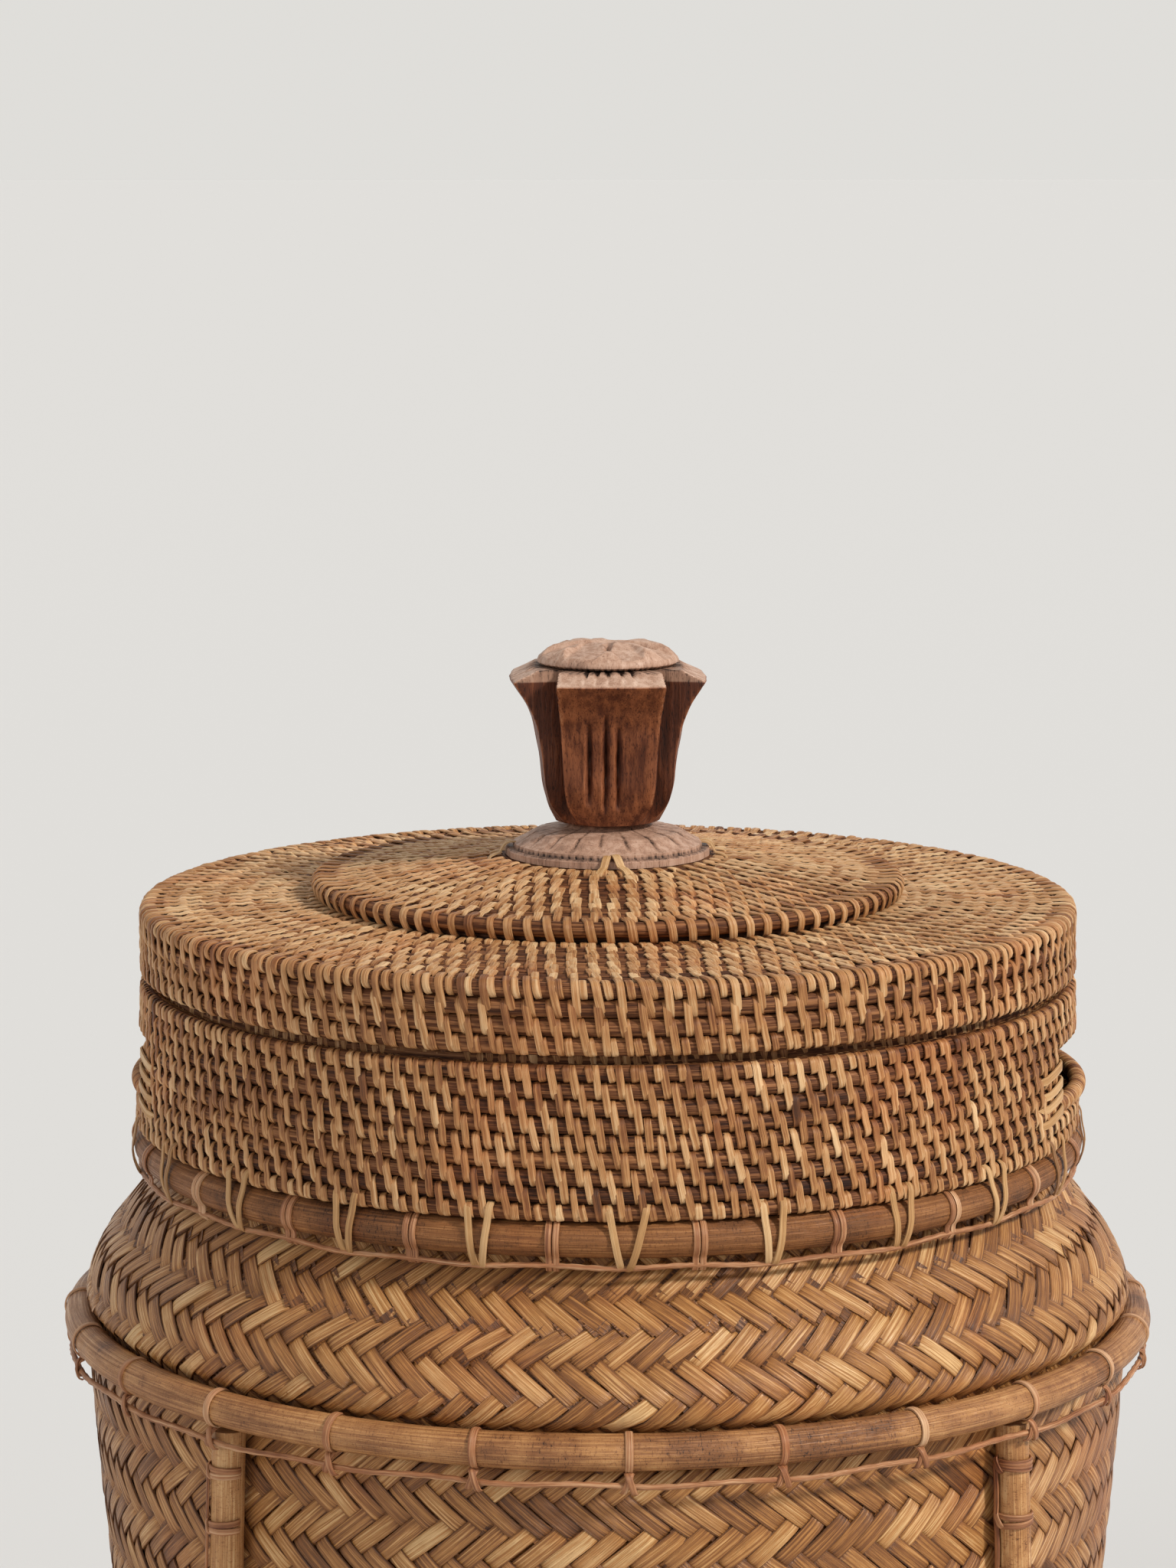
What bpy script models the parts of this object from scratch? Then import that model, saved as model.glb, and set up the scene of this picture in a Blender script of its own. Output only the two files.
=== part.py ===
"""Lidded fishing basket: a twill-woven bamboo body with a coiled rattan collar and lid.

The origin is the centre of the base on the floor, +Z is up and the front faces -Y.
All sizes are in metres. The body is round from the neck to its middle hoop and grows
square towards the base, with a bamboo post lashed to each corner. The coiled lid rests
on a lip inside the collar and lifts straight off by its carved knob.
"""
import math

import bmesh
import bpy
import numpy as np
from mathutils import Matrix, Vector

# Clearances
GAP = 0.0003                  # between pieces that touch
LID_CLEARANCE = 0.0017        # between the lid's skirt and the neck lip it slides over

# Round pieces
RING_STEPS = 40               # facets round the hoops, the wall, the brim and the collar
BRIM_STEPS = 30               # facets round the brim of the lid
CROWN_STEPS = 24              # facets round its crown

# Body wall
BODY_HEIGHT = 0.2055          # floor to the middle hoop's centre
SHOULDER_RISE = 0.0576        # middle hoop's centre to the neck hoop's centre
NECK_RADIUS = 0.1420          # outside of the weave at the neck
MID_RADIUS = 0.1649           # outside of the weave behind the middle hoop
SHOULDER_BULGE = 0.0043       # how far the weave swells out above the middle hoop
BODY_BULGE = 0.0037           # and below it, on the flat sides
BASE_HALF_WIDTH = 0.1460      # middle of a side to the axis, at the base
WALL_THICKNESS = 0.0022
WALL_FOOT = 0.0074            # height of the wall's lower edge above the floor
BODY_TAPER = 1.35             # power of the sides' inward curve
SHOULDER_CURVE = 1.3          # power of the shoulder's outward curve

# Hoops of whole cane and of split cane
NECK_CANE_RADIUS = 0.0056
MID_CANE_RADIUS = 0.0055
BASE_CANE_RADIUS = 0.0055
CANE_SIDES = 8
INNER_HOOP_THICKNESS = 0.0030
INNER_HOOP_HEIGHT = 0.0064    # at the neck

# Corner posts
POST_RADIUS = 0.0053
POST_TOP_OUT = 0.0021         # post's centre outside the weave behind the middle hoop
POST_FOOT_SPREAD = 0.1742     # post's centre to the axis, at the base hoop
POST_ANGLES = (45.0, 135.0, 225.0, 315.0)

# Base
BASE_PANEL_THICKNESS = 0.0022
SLAT_WIDTH = 0.0140
SLAT_THICKNESS = 0.0030

# Coiled collar
COLLAR_ROWS = 9
COLLAR_ROW_PITCH = 0.00515
COLLAR_SETBACK = 0.0035       # collar's rim inside the neck hoop's outside
COLLAR_FLARE = 0.0020         # growth in radius from the rim to the foot
COIL_THICKNESS = 0.0044
COIL_GROOVE = 0.0007          # depth of the groove between two rows
LIP_THICKNESS = 0.0023
LIP_HOLD = 0.01442            # lip's foot below the top of the collar

# Hand holes and their grips
HAND_HOLE_WIDTH = 0.0900
HAND_HOLE_FIRST_ROW = 3       # rows of the collar above the hole
HAND_HOLE_ROWS = 3
HAND_HOLE_TURN = math.radians(-5.8)  # from the middle of the sides: the right one to the front
GRIP_RADIUS = 0.0028
GRIP_BULGE = 0.0024
GRIP_TURNS = 20
GRIP_TURN_GROOVE = 0.16       # share of the grip's radius between two turns
BINDING_THICKNESS = 0.0012
BINDING_REACH = 0.0140        # how far a binding laps the collar beside the hole

# Coiled lid
LID_LIFT_GAP = 0.0025         # open slit between the skirt and the collar
SKIRT_ROWS = 3
SKIRT_ROW_PITCH = 0.0055
LID_CANE_RADIUS = 0.0025
LID_CANE_SIDES = 6
BRIM_ROWS = 10
BRIM_RISE = 0.0014            # inner edge of the brim above its outer edge
CROWN_RADIUS = 0.0950         # outside of the crown's rim cane
CROWN_CANE_RADIUS = 0.00255
CROWN_LIFT = 0.0080           # crown's rim cane above the lid's rim cane
CROWN_ROWS = 11
RISER_THICKNESS = 0.0035
RISER_OVERHANG = 0.0030       # crown's rim cane past the riser below it
KNOB_SEAT_RADIUS = 0.0345
KNOB_SEAT_LIFT = 0.0164       # knob's seat above the lid's rim cane

# Carved knob
FLANGE_RADIUS = 0.0328
FLANGE_RIM_HEIGHT = 0.0019
FLANGE_RISE = 0.0082          # flange's underside to the top of its cone
KNOB_NECK_RADIUS = 0.0125
KNOB_NECK_HEIGHT = 0.0030     # cone to the foot of the bowl
BOWL_RADIUS = 0.0220          # face of a petal to the axis, half way up
BOWL_FOOT_RADIUS = 0.0160
PETAL_HALF_WIDTH = 0.0152     # half way up
PETAL_TIP_RADIUS = 0.0315
KNOB_CAP_RADIUS = 0.0227
KNOB_CAP_HEIGHT = 0.0075
KNOB_LIP_DROP = 0.0122        # petal tips below the top of the cap
KNOB_HEIGHT = 0.0693
CAP_NOTCH_DEPTH = 0.0022
CAP_NOTCH_WIDTH = 0.0050
KNOB_TIE_RADIUS = 0.0008
KNOB_TIE_REACH = 0.0062       # ends of a tie outside the flange

# Lashings: one unbroken strand each
STRAND_RADIUS = 0.0007
NECK_TIES = 22
NECK_TIE_WIDTH = 0.0032       # between the two legs of a tie
NECK_RUNNER_DROP = 0.0078     # strand below the neck hoop's centre
MID_TIES = 24
MID_TIE_WIDTH = 0.0022
MID_RUNNER_DROP = 0.0091
POST_TIES = 10
POST_TIE_WIDTH = 0.0024
POST_TIE_PITCH = 0.0170
POST_FIRST_TIE = 0.0125       # first tie below the post's top

# Levels worked out from the sizes above
NECK_Z = BODY_HEIGHT + SHOULDER_RISE
BAND_HALF = MID_CANE_RADIUS * 0.64
WALL_TOP_Z = NECK_Z + NECK_CANE_RADIUS
SHOULDER_TOP_Z = NECK_Z - NECK_CANE_RADIUS * 0.86
SHOULDER_FOOT_Z = BODY_HEIGHT + MID_CANE_RADIUS * 1.45
BODY_TOP_Z = BODY_HEIGHT - MID_CANE_RADIUS * 1.27
POST_TOP_Z = BODY_TOP_Z - GAP
BASE_APOTHEM = BASE_CANE_RADIUS * math.cos(math.pi / CANE_SIDES)
POST_APOTHEM = POST_RADIUS * math.cos(math.pi / CANE_SIDES)
POST_FOOT_Z = 2.0 * BASE_APOTHEM + GAP
COLLAR_FOOT_Z = NECK_Z + NECK_CANE_RADIUS + GAP
COLLAR_TOP_Z = COLLAR_FOOT_Z + COLLAR_ROWS * COLLAR_ROW_PITCH
SKIRT_FOOT_Z = COLLAR_TOP_Z + LID_LIFT_GAP
SKIRT_TOP_Z = SKIRT_FOOT_Z + SKIRT_ROWS * SKIRT_ROW_PITCH
RIM_Z = SKIRT_TOP_Z + GAP + LID_CANE_RADIUS
CROWN_RIM_Z = RIM_Z + CROWN_LIFT
RISER_TOP_Z = CROWN_RIM_Z - CROWN_CANE_RADIUS - GAP
BRIM_FOOT_Z = RIM_Z - LID_CANE_RADIUS
KNOB_SEAT_Z = RIM_Z + KNOB_SEAT_LIFT
KNOB_FOOT_Z = KNOB_SEAT_Z + GAP

# Radii worked out from the sizes above
POST_TOP_SPREAD = MID_RADIUS + POST_TOP_OUT
NECK_HOOP_RADIUS = NECK_RADIUS + GAP + NECK_CANE_RADIUS
MID_HOOP_RADIUS = MID_RADIUS + GAP + MID_CANE_RADIUS
COLLAR_RADIUS = NECK_HOOP_RADIUS + NECK_CANE_RADIUS - COLLAR_SETBACK
LID_RADIUS = COLLAR_RADIUS
COLLAR_INSIDE = COLLAR_RADIUS - COIL_GROOVE - COIL_THICKNESS
SKIRT_INSIDE = LID_RADIUS - COIL_THICKNESS
LIP_RADIUS = COLLAR_INSIDE - GAP
LIP_TOP_RADIUS = SKIRT_INSIDE * math.cos(math.pi / RING_STEPS) - LID_CLEARANCE
LIP_FOOT_Z = COLLAR_TOP_Z - LIP_HOLD
CROWN_CANE_CENTRE = CROWN_RADIUS - CROWN_CANE_RADIUS
RISER_RADIUS = CROWN_RADIUS - RISER_OVERHANG
BRIM_RADIUS = (LID_RADIUS - 2.0 * LID_CANE_RADIUS) * math.cos(math.pi / RING_STEPS) - GAP
CROWN_DISC_RADIUS = (CROWN_RADIUS - 2.0 * CROWN_CANE_RADIUS) * math.cos(math.pi / RING_STEPS) - GAP
HOLE_TOP_Z = COLLAR_TOP_Z - HAND_HOLE_FIRST_ROW * COLLAR_ROW_PITCH
GRIP_Z = HOLE_TOP_Z - (HAND_HOLE_ROWS + 0.5) * COLLAR_ROW_PITCH
HOLE_FOOT_Z = GRIP_Z + GRIP_RADIUS
HALF_HOLE = HAND_HOLE_WIDTH / 2.0


def clear_scene():
    for item in list(bpy.data.objects):
        bpy.data.objects.remove(item, do_unlink=True)


def new_collection(name):
    collection = bpy.data.collections.new(name)
    bpy.context.scene.collection.children.link(collection)
    return collection


clear_scene()
BASKET = new_collection("fishing_basket")
CUTTERS = new_collection("cutters")


def make_material(name, colour, roughness):
    material = bpy.data.materials.new(name)
    material.use_nodes = True
    shader = material.node_tree.nodes["Principled BSDF"]
    shader.inputs["Base Color"].default_value = (*colour, 1.0)
    shader.inputs["Roughness"].default_value = roughness
    shader.inputs["Metallic"].default_value = 0.0
    return material


RATTAN = make_material("coiled_rattan", (0.50, 0.30, 0.13), 0.55)
RATTAN_RIM = make_material("rattan_rim_cane", (0.34, 0.16, 0.07), 0.50)
BAMBOO = make_material("woven_bamboo", (0.30, 0.15, 0.055), 0.50)
CANE = make_material("whole_cane", (0.42, 0.25, 0.10), 0.42)
STRAND = make_material("lashing_strand", (0.36, 0.15, 0.07), 0.48)
PALE = make_material("pale_rattan", (0.62, 0.42, 0.20), 0.50)
WOOD = make_material("carved_wood", (0.22, 0.09, 0.035), 0.52)


def add_object(name, data, material, collection=BASKET):
    item = bpy.data.objects.new(name, data)
    if material is not None:
        data.materials.append(material)
    collection.objects.link(item)
    return item


def smooth(item, degrees=38.0):
    item.data.shade_smooth()
    item.data.set_sharp_from_angle(angle=math.radians(degrees))


def turned(name, profile, material, steps=RING_STEPS, closed=True):
    """Turn a profile of (radius, height) points, listed down its outer side, about Z."""
    mesh = bpy.data.meshes.new(name)
    points = [(radius, 0.0, height) for radius, height in profile]
    edges = [(k, k + 1) for k in range(len(points) - 1)]
    if closed:
        edges.append((len(points) - 1, 0))
    mesh.from_pydata(points, edges, [])
    item = add_object(name, mesh, material)
    screw = item.modifiers.new("turn", "SCREW")
    screw.axis = "Z"
    screw.steps = steps
    screw.render_steps = steps
    screw.use_merge_vertices = True
    screw.merge_threshold = 0.00001
    screw.use_smooth_shade = True
    return item


def coil_rows(start, end, rows, depth=COIL_GROOVE):
    """Points of a coiled face from start to end: a groove, a crest, a groove and so on."""
    a = Vector(start)
    b = Vector(end)
    along = b - a
    out = Vector((-along.y, along.x)).normalized() * depth
    points = [tuple(a)]
    for row in range(rows):
        points.append(tuple(a + along * ((row + 0.5) / rows) + out))
        points.append(tuple(a + along * ((row + 1.0) / rows)))
    return points


def cane_ring(name, radius, height, cane_radius, sides, material):
    """A hoop of whole cane, bent round in a circle."""
    bpy.ops.mesh.primitive_torus_add(
        major_segments=RING_STEPS, minor_segments=sides, major_radius=radius,
        minor_radius=cane_radius, location=(0.0, 0.0, height))
    item = bpy.context.active_object
    item.name = name
    item.data.name = name
    for owner in list(item.users_collection):
        owner.objects.unlink(item)
    BASKET.objects.link(item)
    item.data.materials.append(material)
    smooth(item, 60.0)
    return item


def tube(name, points, radius, material, sides=4, cyclic=False, radii=None, tilt=0.0):
    """A strand or cane of 4, 6 or 8 sides along a list of points, with filled ends."""
    curve = bpy.data.curves.new(name, "CURVE")
    curve.dimensions = "3D"
    curve.bevel_depth = radius
    curve.bevel_resolution = (sides - 4) // 2
    curve.use_fill_caps = True
    spline = curve.splines.new("POLY")
    spline.points.add(len(points) - 1)
    for k, point in enumerate(points):
        spline.points[k].co = (*point, 1.0)
        spline.points[k].radius = 1.0 if radii is None else radii[k]
        spline.points[k].tilt = tilt
    spline.use_cyclic_u = cyclic
    return add_object(name, curve, material)


def outline_solid(name, points, low, high, material):
    """A flat outline of (x, y) points, thickened between two heights."""
    curve = bpy.data.curves.new(name, "CURVE")
    curve.dimensions = "2D"
    curve.fill_mode = "BOTH"
    curve.extrude = (high - low) / 2.0
    spline = curve.splines.new("POLY")
    spline.points.add(len(points) - 1)
    for k, point in enumerate(points):
        spline.points[k].co = (point[0], point[1], 0.0, 1.0)
    spline.use_cyclic_u = True
    item = add_object(name, curve, material)
    item.location = (0.0, 0.0, (low + high) / 2.0)
    return item


def loft(name, rings, material, close_ends):
    """Join rings of equal point counts, listed from the top down and anticlockwise."""
    count = len(rings[0])
    vertices = [tuple(point) for ring in rings for point in ring]
    faces = []
    for level in range(len(rings) - 1):
        upper = level * count
        lower = upper + count
        for k in range(count):
            after = (k + 1) % count
            faces.append((upper + k, lower + k, lower + after, upper + after))
    if close_ends:
        last = (len(rings) - 1) * count
        faces.append(tuple(range(count)))
        faces.append(tuple(last + k for k in reversed(range(count))))
    mesh = bpy.data.meshes.new(name)
    mesh.from_pydata(vertices, [], faces)
    return add_object(name, mesh, material)


def box_cutter(name, low, high):
    mesh = bpy.data.meshes.new(name)
    solid = bmesh.new()
    bmesh.ops.create_cube(solid, size=1.0)
    size = Vector(high) - Vector(low)
    centre = (Vector(high) + Vector(low)) / 2.0
    bmesh.ops.transform(solid, matrix=Matrix.Diagonal((*size, 1.0)), verts=solid.verts)
    bmesh.ops.translate(solid, vec=centre, verts=solid.verts)
    solid.to_mesh(mesh)
    solid.free()
    cutter = add_object(name, mesh, None, CUTTERS)
    cutter.hide_render = True
    cutter.display_type = "WIRE"
    return cutter


def cut(item, cutter):
    boolean = item.modifiers.new(cutter.name, "BOOLEAN")
    boolean.operation = "DIFFERENCE"
    boolean.solver = "EXACT"
    boolean.object = cutter


def box_part(name, size, centre, angle, material):
    mesh = bpy.data.meshes.new(name)
    solid = bmesh.new()
    bmesh.ops.create_cube(solid, size=1.0)
    bmesh.ops.transform(solid, matrix=Matrix.Diagonal((*size, 1.0)), verts=solid.verts)
    solid.to_mesh(mesh)
    solid.free()
    item = add_object(name, mesh, material)
    item.location = centre
    item.rotation_euler = (0.0, 0.0, angle)
    return item


def post_spread(height):
    """Distance of a post's centre line from the axis at a height."""
    share = (height - POST_FOOT_Z) / (POST_TOP_Z - POST_FOOT_Z)
    return POST_FOOT_SPREAD + (POST_TOP_SPREAD - POST_FOOT_SPREAD) * share


def wall_levels():
    """Rings of the weave as (height, radius at a side, radius at a corner), top down."""
    levels = [(WALL_TOP_Z, NECK_RADIUS, NECK_RADIUS), (SHOULDER_TOP_Z, NECK_RADIUS, NECK_RADIUS)]
    swell = MID_RADIUS + SHOULDER_BULGE - NECK_RADIUS
    for share in (0.25, 0.5, 0.75, 1.0):
        radius = NECK_RADIUS + swell * math.sin(share * math.pi / 2.0) ** SHOULDER_CURVE
        height = SHOULDER_TOP_Z + (SHOULDER_FOOT_Z - SHOULDER_TOP_Z) * share
        levels.append((height, radius, radius))
    levels.append((BODY_HEIGHT + BAND_HALF, MID_RADIUS, MID_RADIUS))
    levels.append((BODY_HEIGHT - BAND_HALF, MID_RADIUS, MID_RADIUS))
    side_top = MID_RADIUS + BODY_BULGE
    for share in (0.0, 0.14, 0.40, 0.70, 1.0):
        height = BODY_TOP_Z + (WALL_FOOT - BODY_TOP_Z) * share
        side = side_top - (side_top - BASE_HALF_WIDTH) * share ** BODY_TAPER
        corner = post_spread(height) - POST_APOTHEM - GAP
        levels.append((height, side, corner))
    return levels


def section(side, corner, height, outset=0.0):
    """Ring of points whose radius swings from the sides to the corners."""
    ring = []
    for k in range(RING_STEPS):
        angle = 2.0 * math.pi * k / RING_STEPS
        radius = side + (corner - side) * math.sin(2.0 * angle) ** 2 + outset
        ring.append((radius * math.cos(angle), radius * math.sin(angle), height))
    return ring


def build_body():
    rings = [section(side, corner, height) for height, side, corner in wall_levels()]
    wall = loft("body_wall", rings, BAMBOO, close_ends=False)
    shell = wall.modifiers.new("thickness", "SOLIDIFY")
    shell.thickness = WALL_THICKNESS
    shell.offset = -1.0
    shell.use_even_offset = True
    smooth(wall)

    height, side, corner = wall_levels()[-1]
    inset = -(WALL_THICKNESS + GAP) * 1.25
    panel = section(side, corner, 0.0, inset)
    outline_solid("base_panel", panel, WALL_FOOT, WALL_FOOT + BASE_PANEL_THICKNESS, BAMBOO)

    centre = section(side, corner, BASE_APOTHEM, GAP * 1.4 + BASE_CANE_RADIUS)
    flat_down = math.pi / CANE_SIDES
    tube("base_hoop", centre, BASE_CANE_RADIUS, CANE, sides=CANE_SIDES, cyclic=True, tilt=flat_down)

    slat_top = WALL_FOOT - GAP
    reach = 2.0 * (corner - GAP)
    for name, turn in (("base_slat_upper", 45.0), ("base_slat_lower", 135.0)):
        size = (reach, SLAT_WIDTH, SLAT_THICKNESS)
        box_part(name, size, (0.0, 0.0, slat_top - SLAT_THICKNESS / 2.0), math.radians(turn), BAMBOO)
        slat_top -= SLAT_THICKNESS + GAP


def build_hoops():
    cane_ring("neck_hoop", NECK_HOOP_RADIUS, NECK_Z, NECK_CANE_RADIUS, CANE_SIDES, CANE)
    cane_ring("mid_hoop", MID_HOOP_RADIUS, BODY_HEIGHT, MID_CANE_RADIUS, CANE_SIDES, CANE)
    band = 2.0 * BAND_HALF - WALL_THICKNESS
    for name, wall_radius, height, tall in (("neck_hoop_inner", NECK_RADIUS, NECK_Z, INNER_HOOP_HEIGHT),
                                            ("mid_hoop_inner", MID_RADIUS, BODY_HEIGHT, band)):
        outside = wall_radius - WALL_THICKNESS - GAP * 1.4
        inside = outside - INNER_HOOP_THICKNESS
        top = height + tall / 2.0
        foot = height - tall / 2.0
        turned(name, [(outside, top), (outside, foot), (inside, foot), (inside, top)], CANE)


def build_posts():
    """Straight canes that lean a little, each on a corner of the body."""
    for number, degrees in enumerate(POST_ANGLES, 1):
        angle = math.radians(degrees)
        direction = Vector((math.cos(angle), math.sin(angle), 0.0))
        top = direction * post_spread(POST_TOP_Z) + Vector((0.0, 0.0, POST_TOP_Z))
        foot = direction * post_spread(POST_FOOT_Z) + Vector((0.0, 0.0, POST_FOOT_Z))
        mesh = bpy.data.meshes.new(f"post_{number}")
        solid = bmesh.new()
        bmesh.ops.create_cone(solid, cap_ends=True, segments=CANE_SIDES, radius1=POST_RADIUS,
                              radius2=POST_RADIUS, depth=POST_TOP_Z - POST_FOOT_Z)
        # A face of the octagon looks outwards, and the cane is sheared along its lean
        lean = (top - foot) / (POST_TOP_Z - POST_FOOT_Z)
        shear = Matrix.Identity(4)
        shear[0][2] = lean.x
        shear[1][2] = lean.y
        facing = Matrix.Rotation(angle + math.pi / CANE_SIDES, 4, "Z")
        bmesh.ops.transform(solid, matrix=facing, verts=solid.verts)
        bmesh.ops.transform(solid, matrix=shear, verts=solid.verts)
        solid.to_mesh(mesh)
        solid.free()
        post = add_object(f"post_{number}", mesh, CANE)
        post.location = (top + foot) / 2.0
        smooth(post, 60.0)


def build_collar():
    outer = coil_rows((COLLAR_RADIUS - COIL_GROOVE, COLLAR_TOP_Z),
                      (COLLAR_RADIUS - COIL_GROOVE + COLLAR_FLARE, COLLAR_FOOT_Z), COLLAR_ROWS)
    inner = [(COLLAR_INSIDE + COLLAR_FLARE, COLLAR_FOOT_Z), (COLLAR_INSIDE, COLLAR_TOP_Z)]
    collar = turned("neck_collar", outer + inner, RATTAN)
    low = HOLE_FOOT_Z - 2.0 * GRIP_RADIUS - GAP
    inside = NECK_RADIUS - WALL_THICKNESS
    outside = NECK_HOOP_RADIUS + 2.0 * NECK_CANE_RADIUS
    for side, name in ((1.0, "hand_hole_right"), (-1.0, "hand_hole_left")):
        ends = sorted((side * inside * 0.9, side * outside))
        cutter = box_cutter(name, (ends[0], -HALF_HOLE, low), (ends[1], HALF_HOLE, HOLE_TOP_Z))
        cutter.rotation_euler.z = HAND_HOLE_TURN
        cut(collar, cutter)

    top = BRIM_FOOT_Z - GAP
    profile = [(LIP_TOP_RADIUS, top), (LIP_RADIUS, COLLAR_TOP_Z - COLLAR_ROW_PITCH),
               (LIP_RADIUS, LIP_FOOT_Z), (LIP_RADIUS - LIP_THICKNESS, LIP_FOOT_Z),
               (LIP_TOP_RADIUS - LIP_THICKNESS, top)]
    turned("neck_lip", profile, RATTAN)


def collar_radius(height, inside=False):
    """Radius of the collar's grooved face, or of its inner face, at a height."""
    share = (COLLAR_TOP_Z - height) / (COLLAR_TOP_Z - COLLAR_FOOT_Z)
    start = COLLAR_INSIDE if inside else COLLAR_RADIUS - COIL_GROOVE
    return start + COLLAR_FLARE * share


def build_grips():
    """The lower edge of each hand hole: a bundle closely wound with split rattan."""
    centre = (collar_radius(GRIP_Z) + collar_radius(GRIP_Z, inside=True)) / 2.0
    reach = math.asin(HALF_HOLE / centre)
    lean = reach + math.atan(GRIP_BULGE * math.pi / 2.0 / (reach * centre))
    end = HALF_HOLE - GAP - GRIP_RADIUS * math.sin(lean)
    reach = math.asin(end / centre)
    count = 2 * GRIP_TURNS + 1
    for side, name in ((1.0, "grip_right"), (-1.0, "grip_left")):
        points = []
        radii = []
        for k in range(count):
            share = 2.0 * k / (count - 1) - 1.0
            angle = reach * share
            radius = centre + GRIP_BULGE * math.cos(share * math.pi / 2.0)
            points.append((side * radius * math.cos(angle), radius * math.sin(angle), GRIP_Z))
            radii.append(1.0 if k % 2 else 1.0 - GRIP_TURN_GROOVE)
        grip = tube(name, points, GRIP_RADIUS, RATTAN_RIM, sides=6, radii=radii)
        grip.rotation_euler.z = HAND_HOLE_TURN


def build_bindings():
    """Strips that bind each upright edge of the hand holes, one clip to an edge."""
    low = HOLE_FOOT_Z + GAP
    high = HOLE_TOP_Z - GAP
    facet = math.cos(math.pi / RING_STEPS)
    outside = collar_radius(low) + COIL_GROOVE + GAP
    outside /= math.cos(BINDING_REACH / outside / 2.0)
    inside = collar_radius(high, inside=True) * facet - GAP
    web = HALF_HOLE - GAP
    face = web - BINDING_THICKNESS
    end = math.asin(HALF_HOLE / outside) + BINDING_REACH / outside

    def on_plane(radius, y):
        return (math.sqrt(radius ** 2 - y ** 2), y)

    def on_arc(radius):
        return (radius * math.cos(end), radius * math.sin(end))

    shape = [on_arc(outside + BINDING_THICKNESS), on_plane(outside + BINDING_THICKNESS, face),
             on_plane(inside - BINDING_THICKNESS, face), on_arc(inside - BINDING_THICKNESS),
             on_arc(inside), on_plane(inside, web), on_plane(outside, web), on_arc(outside)]
    for sx, sy, name in ((1, 1, "binding_right_back"), (1, -1, "binding_right_front"),
                         (-1, 1, "binding_left_back"), (-1, -1, "binding_left_front")):
        points = [(sx * x, sy * y) for x, y in shape]
        binding = outline_solid(name, points, low, high, PALE)
        binding.rotation_euler.z = HAND_HOLE_TURN


def build_lid():
    skirt_out = LID_RADIUS - COIL_GROOVE
    skirt = coil_rows((skirt_out, SKIRT_TOP_Z), (skirt_out, SKIRT_FOOT_Z), SKIRT_ROWS)
    skirt += [(SKIRT_INSIDE, SKIRT_FOOT_Z), (SKIRT_INSIDE, SKIRT_TOP_Z)]
    turned("lid_skirt", skirt, RATTAN)

    cane_ring("lid_rim_cane", LID_RADIUS - LID_CANE_RADIUS, RIM_Z, LID_CANE_RADIUS,
              LID_CANE_SIDES, RATTAN_RIM)

    edge_top = BRIM_FOOT_Z + COIL_THICKNESS
    brim = coil_rows((RISER_RADIUS, edge_top + BRIM_RISE), (BRIM_RADIUS, edge_top), BRIM_ROWS)
    brim += [(BRIM_RADIUS, BRIM_FOOT_Z),
             (RISER_RADIUS - RISER_THICKNESS, BRIM_FOOT_Z + BRIM_RISE),
             (RISER_RADIUS - RISER_THICKNESS, RISER_TOP_Z), (RISER_RADIUS, RISER_TOP_Z)]
    turned("lid_brim", brim, RATTAN, steps=BRIM_STEPS)

    cane_ring("lid_crown_cane", CROWN_CANE_CENTRE, CROWN_RIM_Z, CROWN_CANE_RADIUS,
              LID_CANE_SIDES, RATTAN_RIM)

    disc_foot = RISER_TOP_Z + GAP
    crown = [(0.0, KNOB_SEAT_Z)]
    crown += coil_rows((KNOB_SEAT_RADIUS, KNOB_SEAT_Z),
                       (CROWN_DISC_RADIUS, disc_foot + COIL_THICKNESS), CROWN_ROWS)
    crown += [(CROWN_DISC_RADIUS, disc_foot), (RISER_RADIUS - RISER_THICKNESS, disc_foot),
              (KNOB_SEAT_RADIUS, KNOB_SEAT_Z - COIL_THICKNESS), (0.0, KNOB_SEAT_Z - COIL_THICKNESS)]
    turned("lid_crown", crown, RATTAN, steps=CROWN_STEPS, closed=False)


def petal_ring(face, half_width, corner, height):
    """A knob section: four gently bowed petal faces with a notch between each two."""
    bow = 0.035 * face
    quarter = []
    for share in (0.0, 0.4, 0.8, 1.0):
        quarter.append((face - bow * share ** 2, half_width * share))
    quarter.append((corner, corner))
    for share in (1.0, 0.8, 0.4):
        quarter.append((half_width * share, face - bow * share ** 2))
    ring = []
    for turn in range(4):
        spin = Matrix.Rotation(turn * math.pi / 2.0, 3, "Z")
        for x, y in quarter:
            point = spin @ Vector((x, y, 0.0))
            ring.append((point.x, point.y, height))
    return ring


def round_ring(radius, height, like):
    """A circle whose points face the same way as those of a petal ring."""
    ring = []
    for x, y, _ in like:
        angle = math.atan2(y, x)
        ring.append((radius * math.cos(angle), radius * math.sin(angle), height))
    return ring


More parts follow.
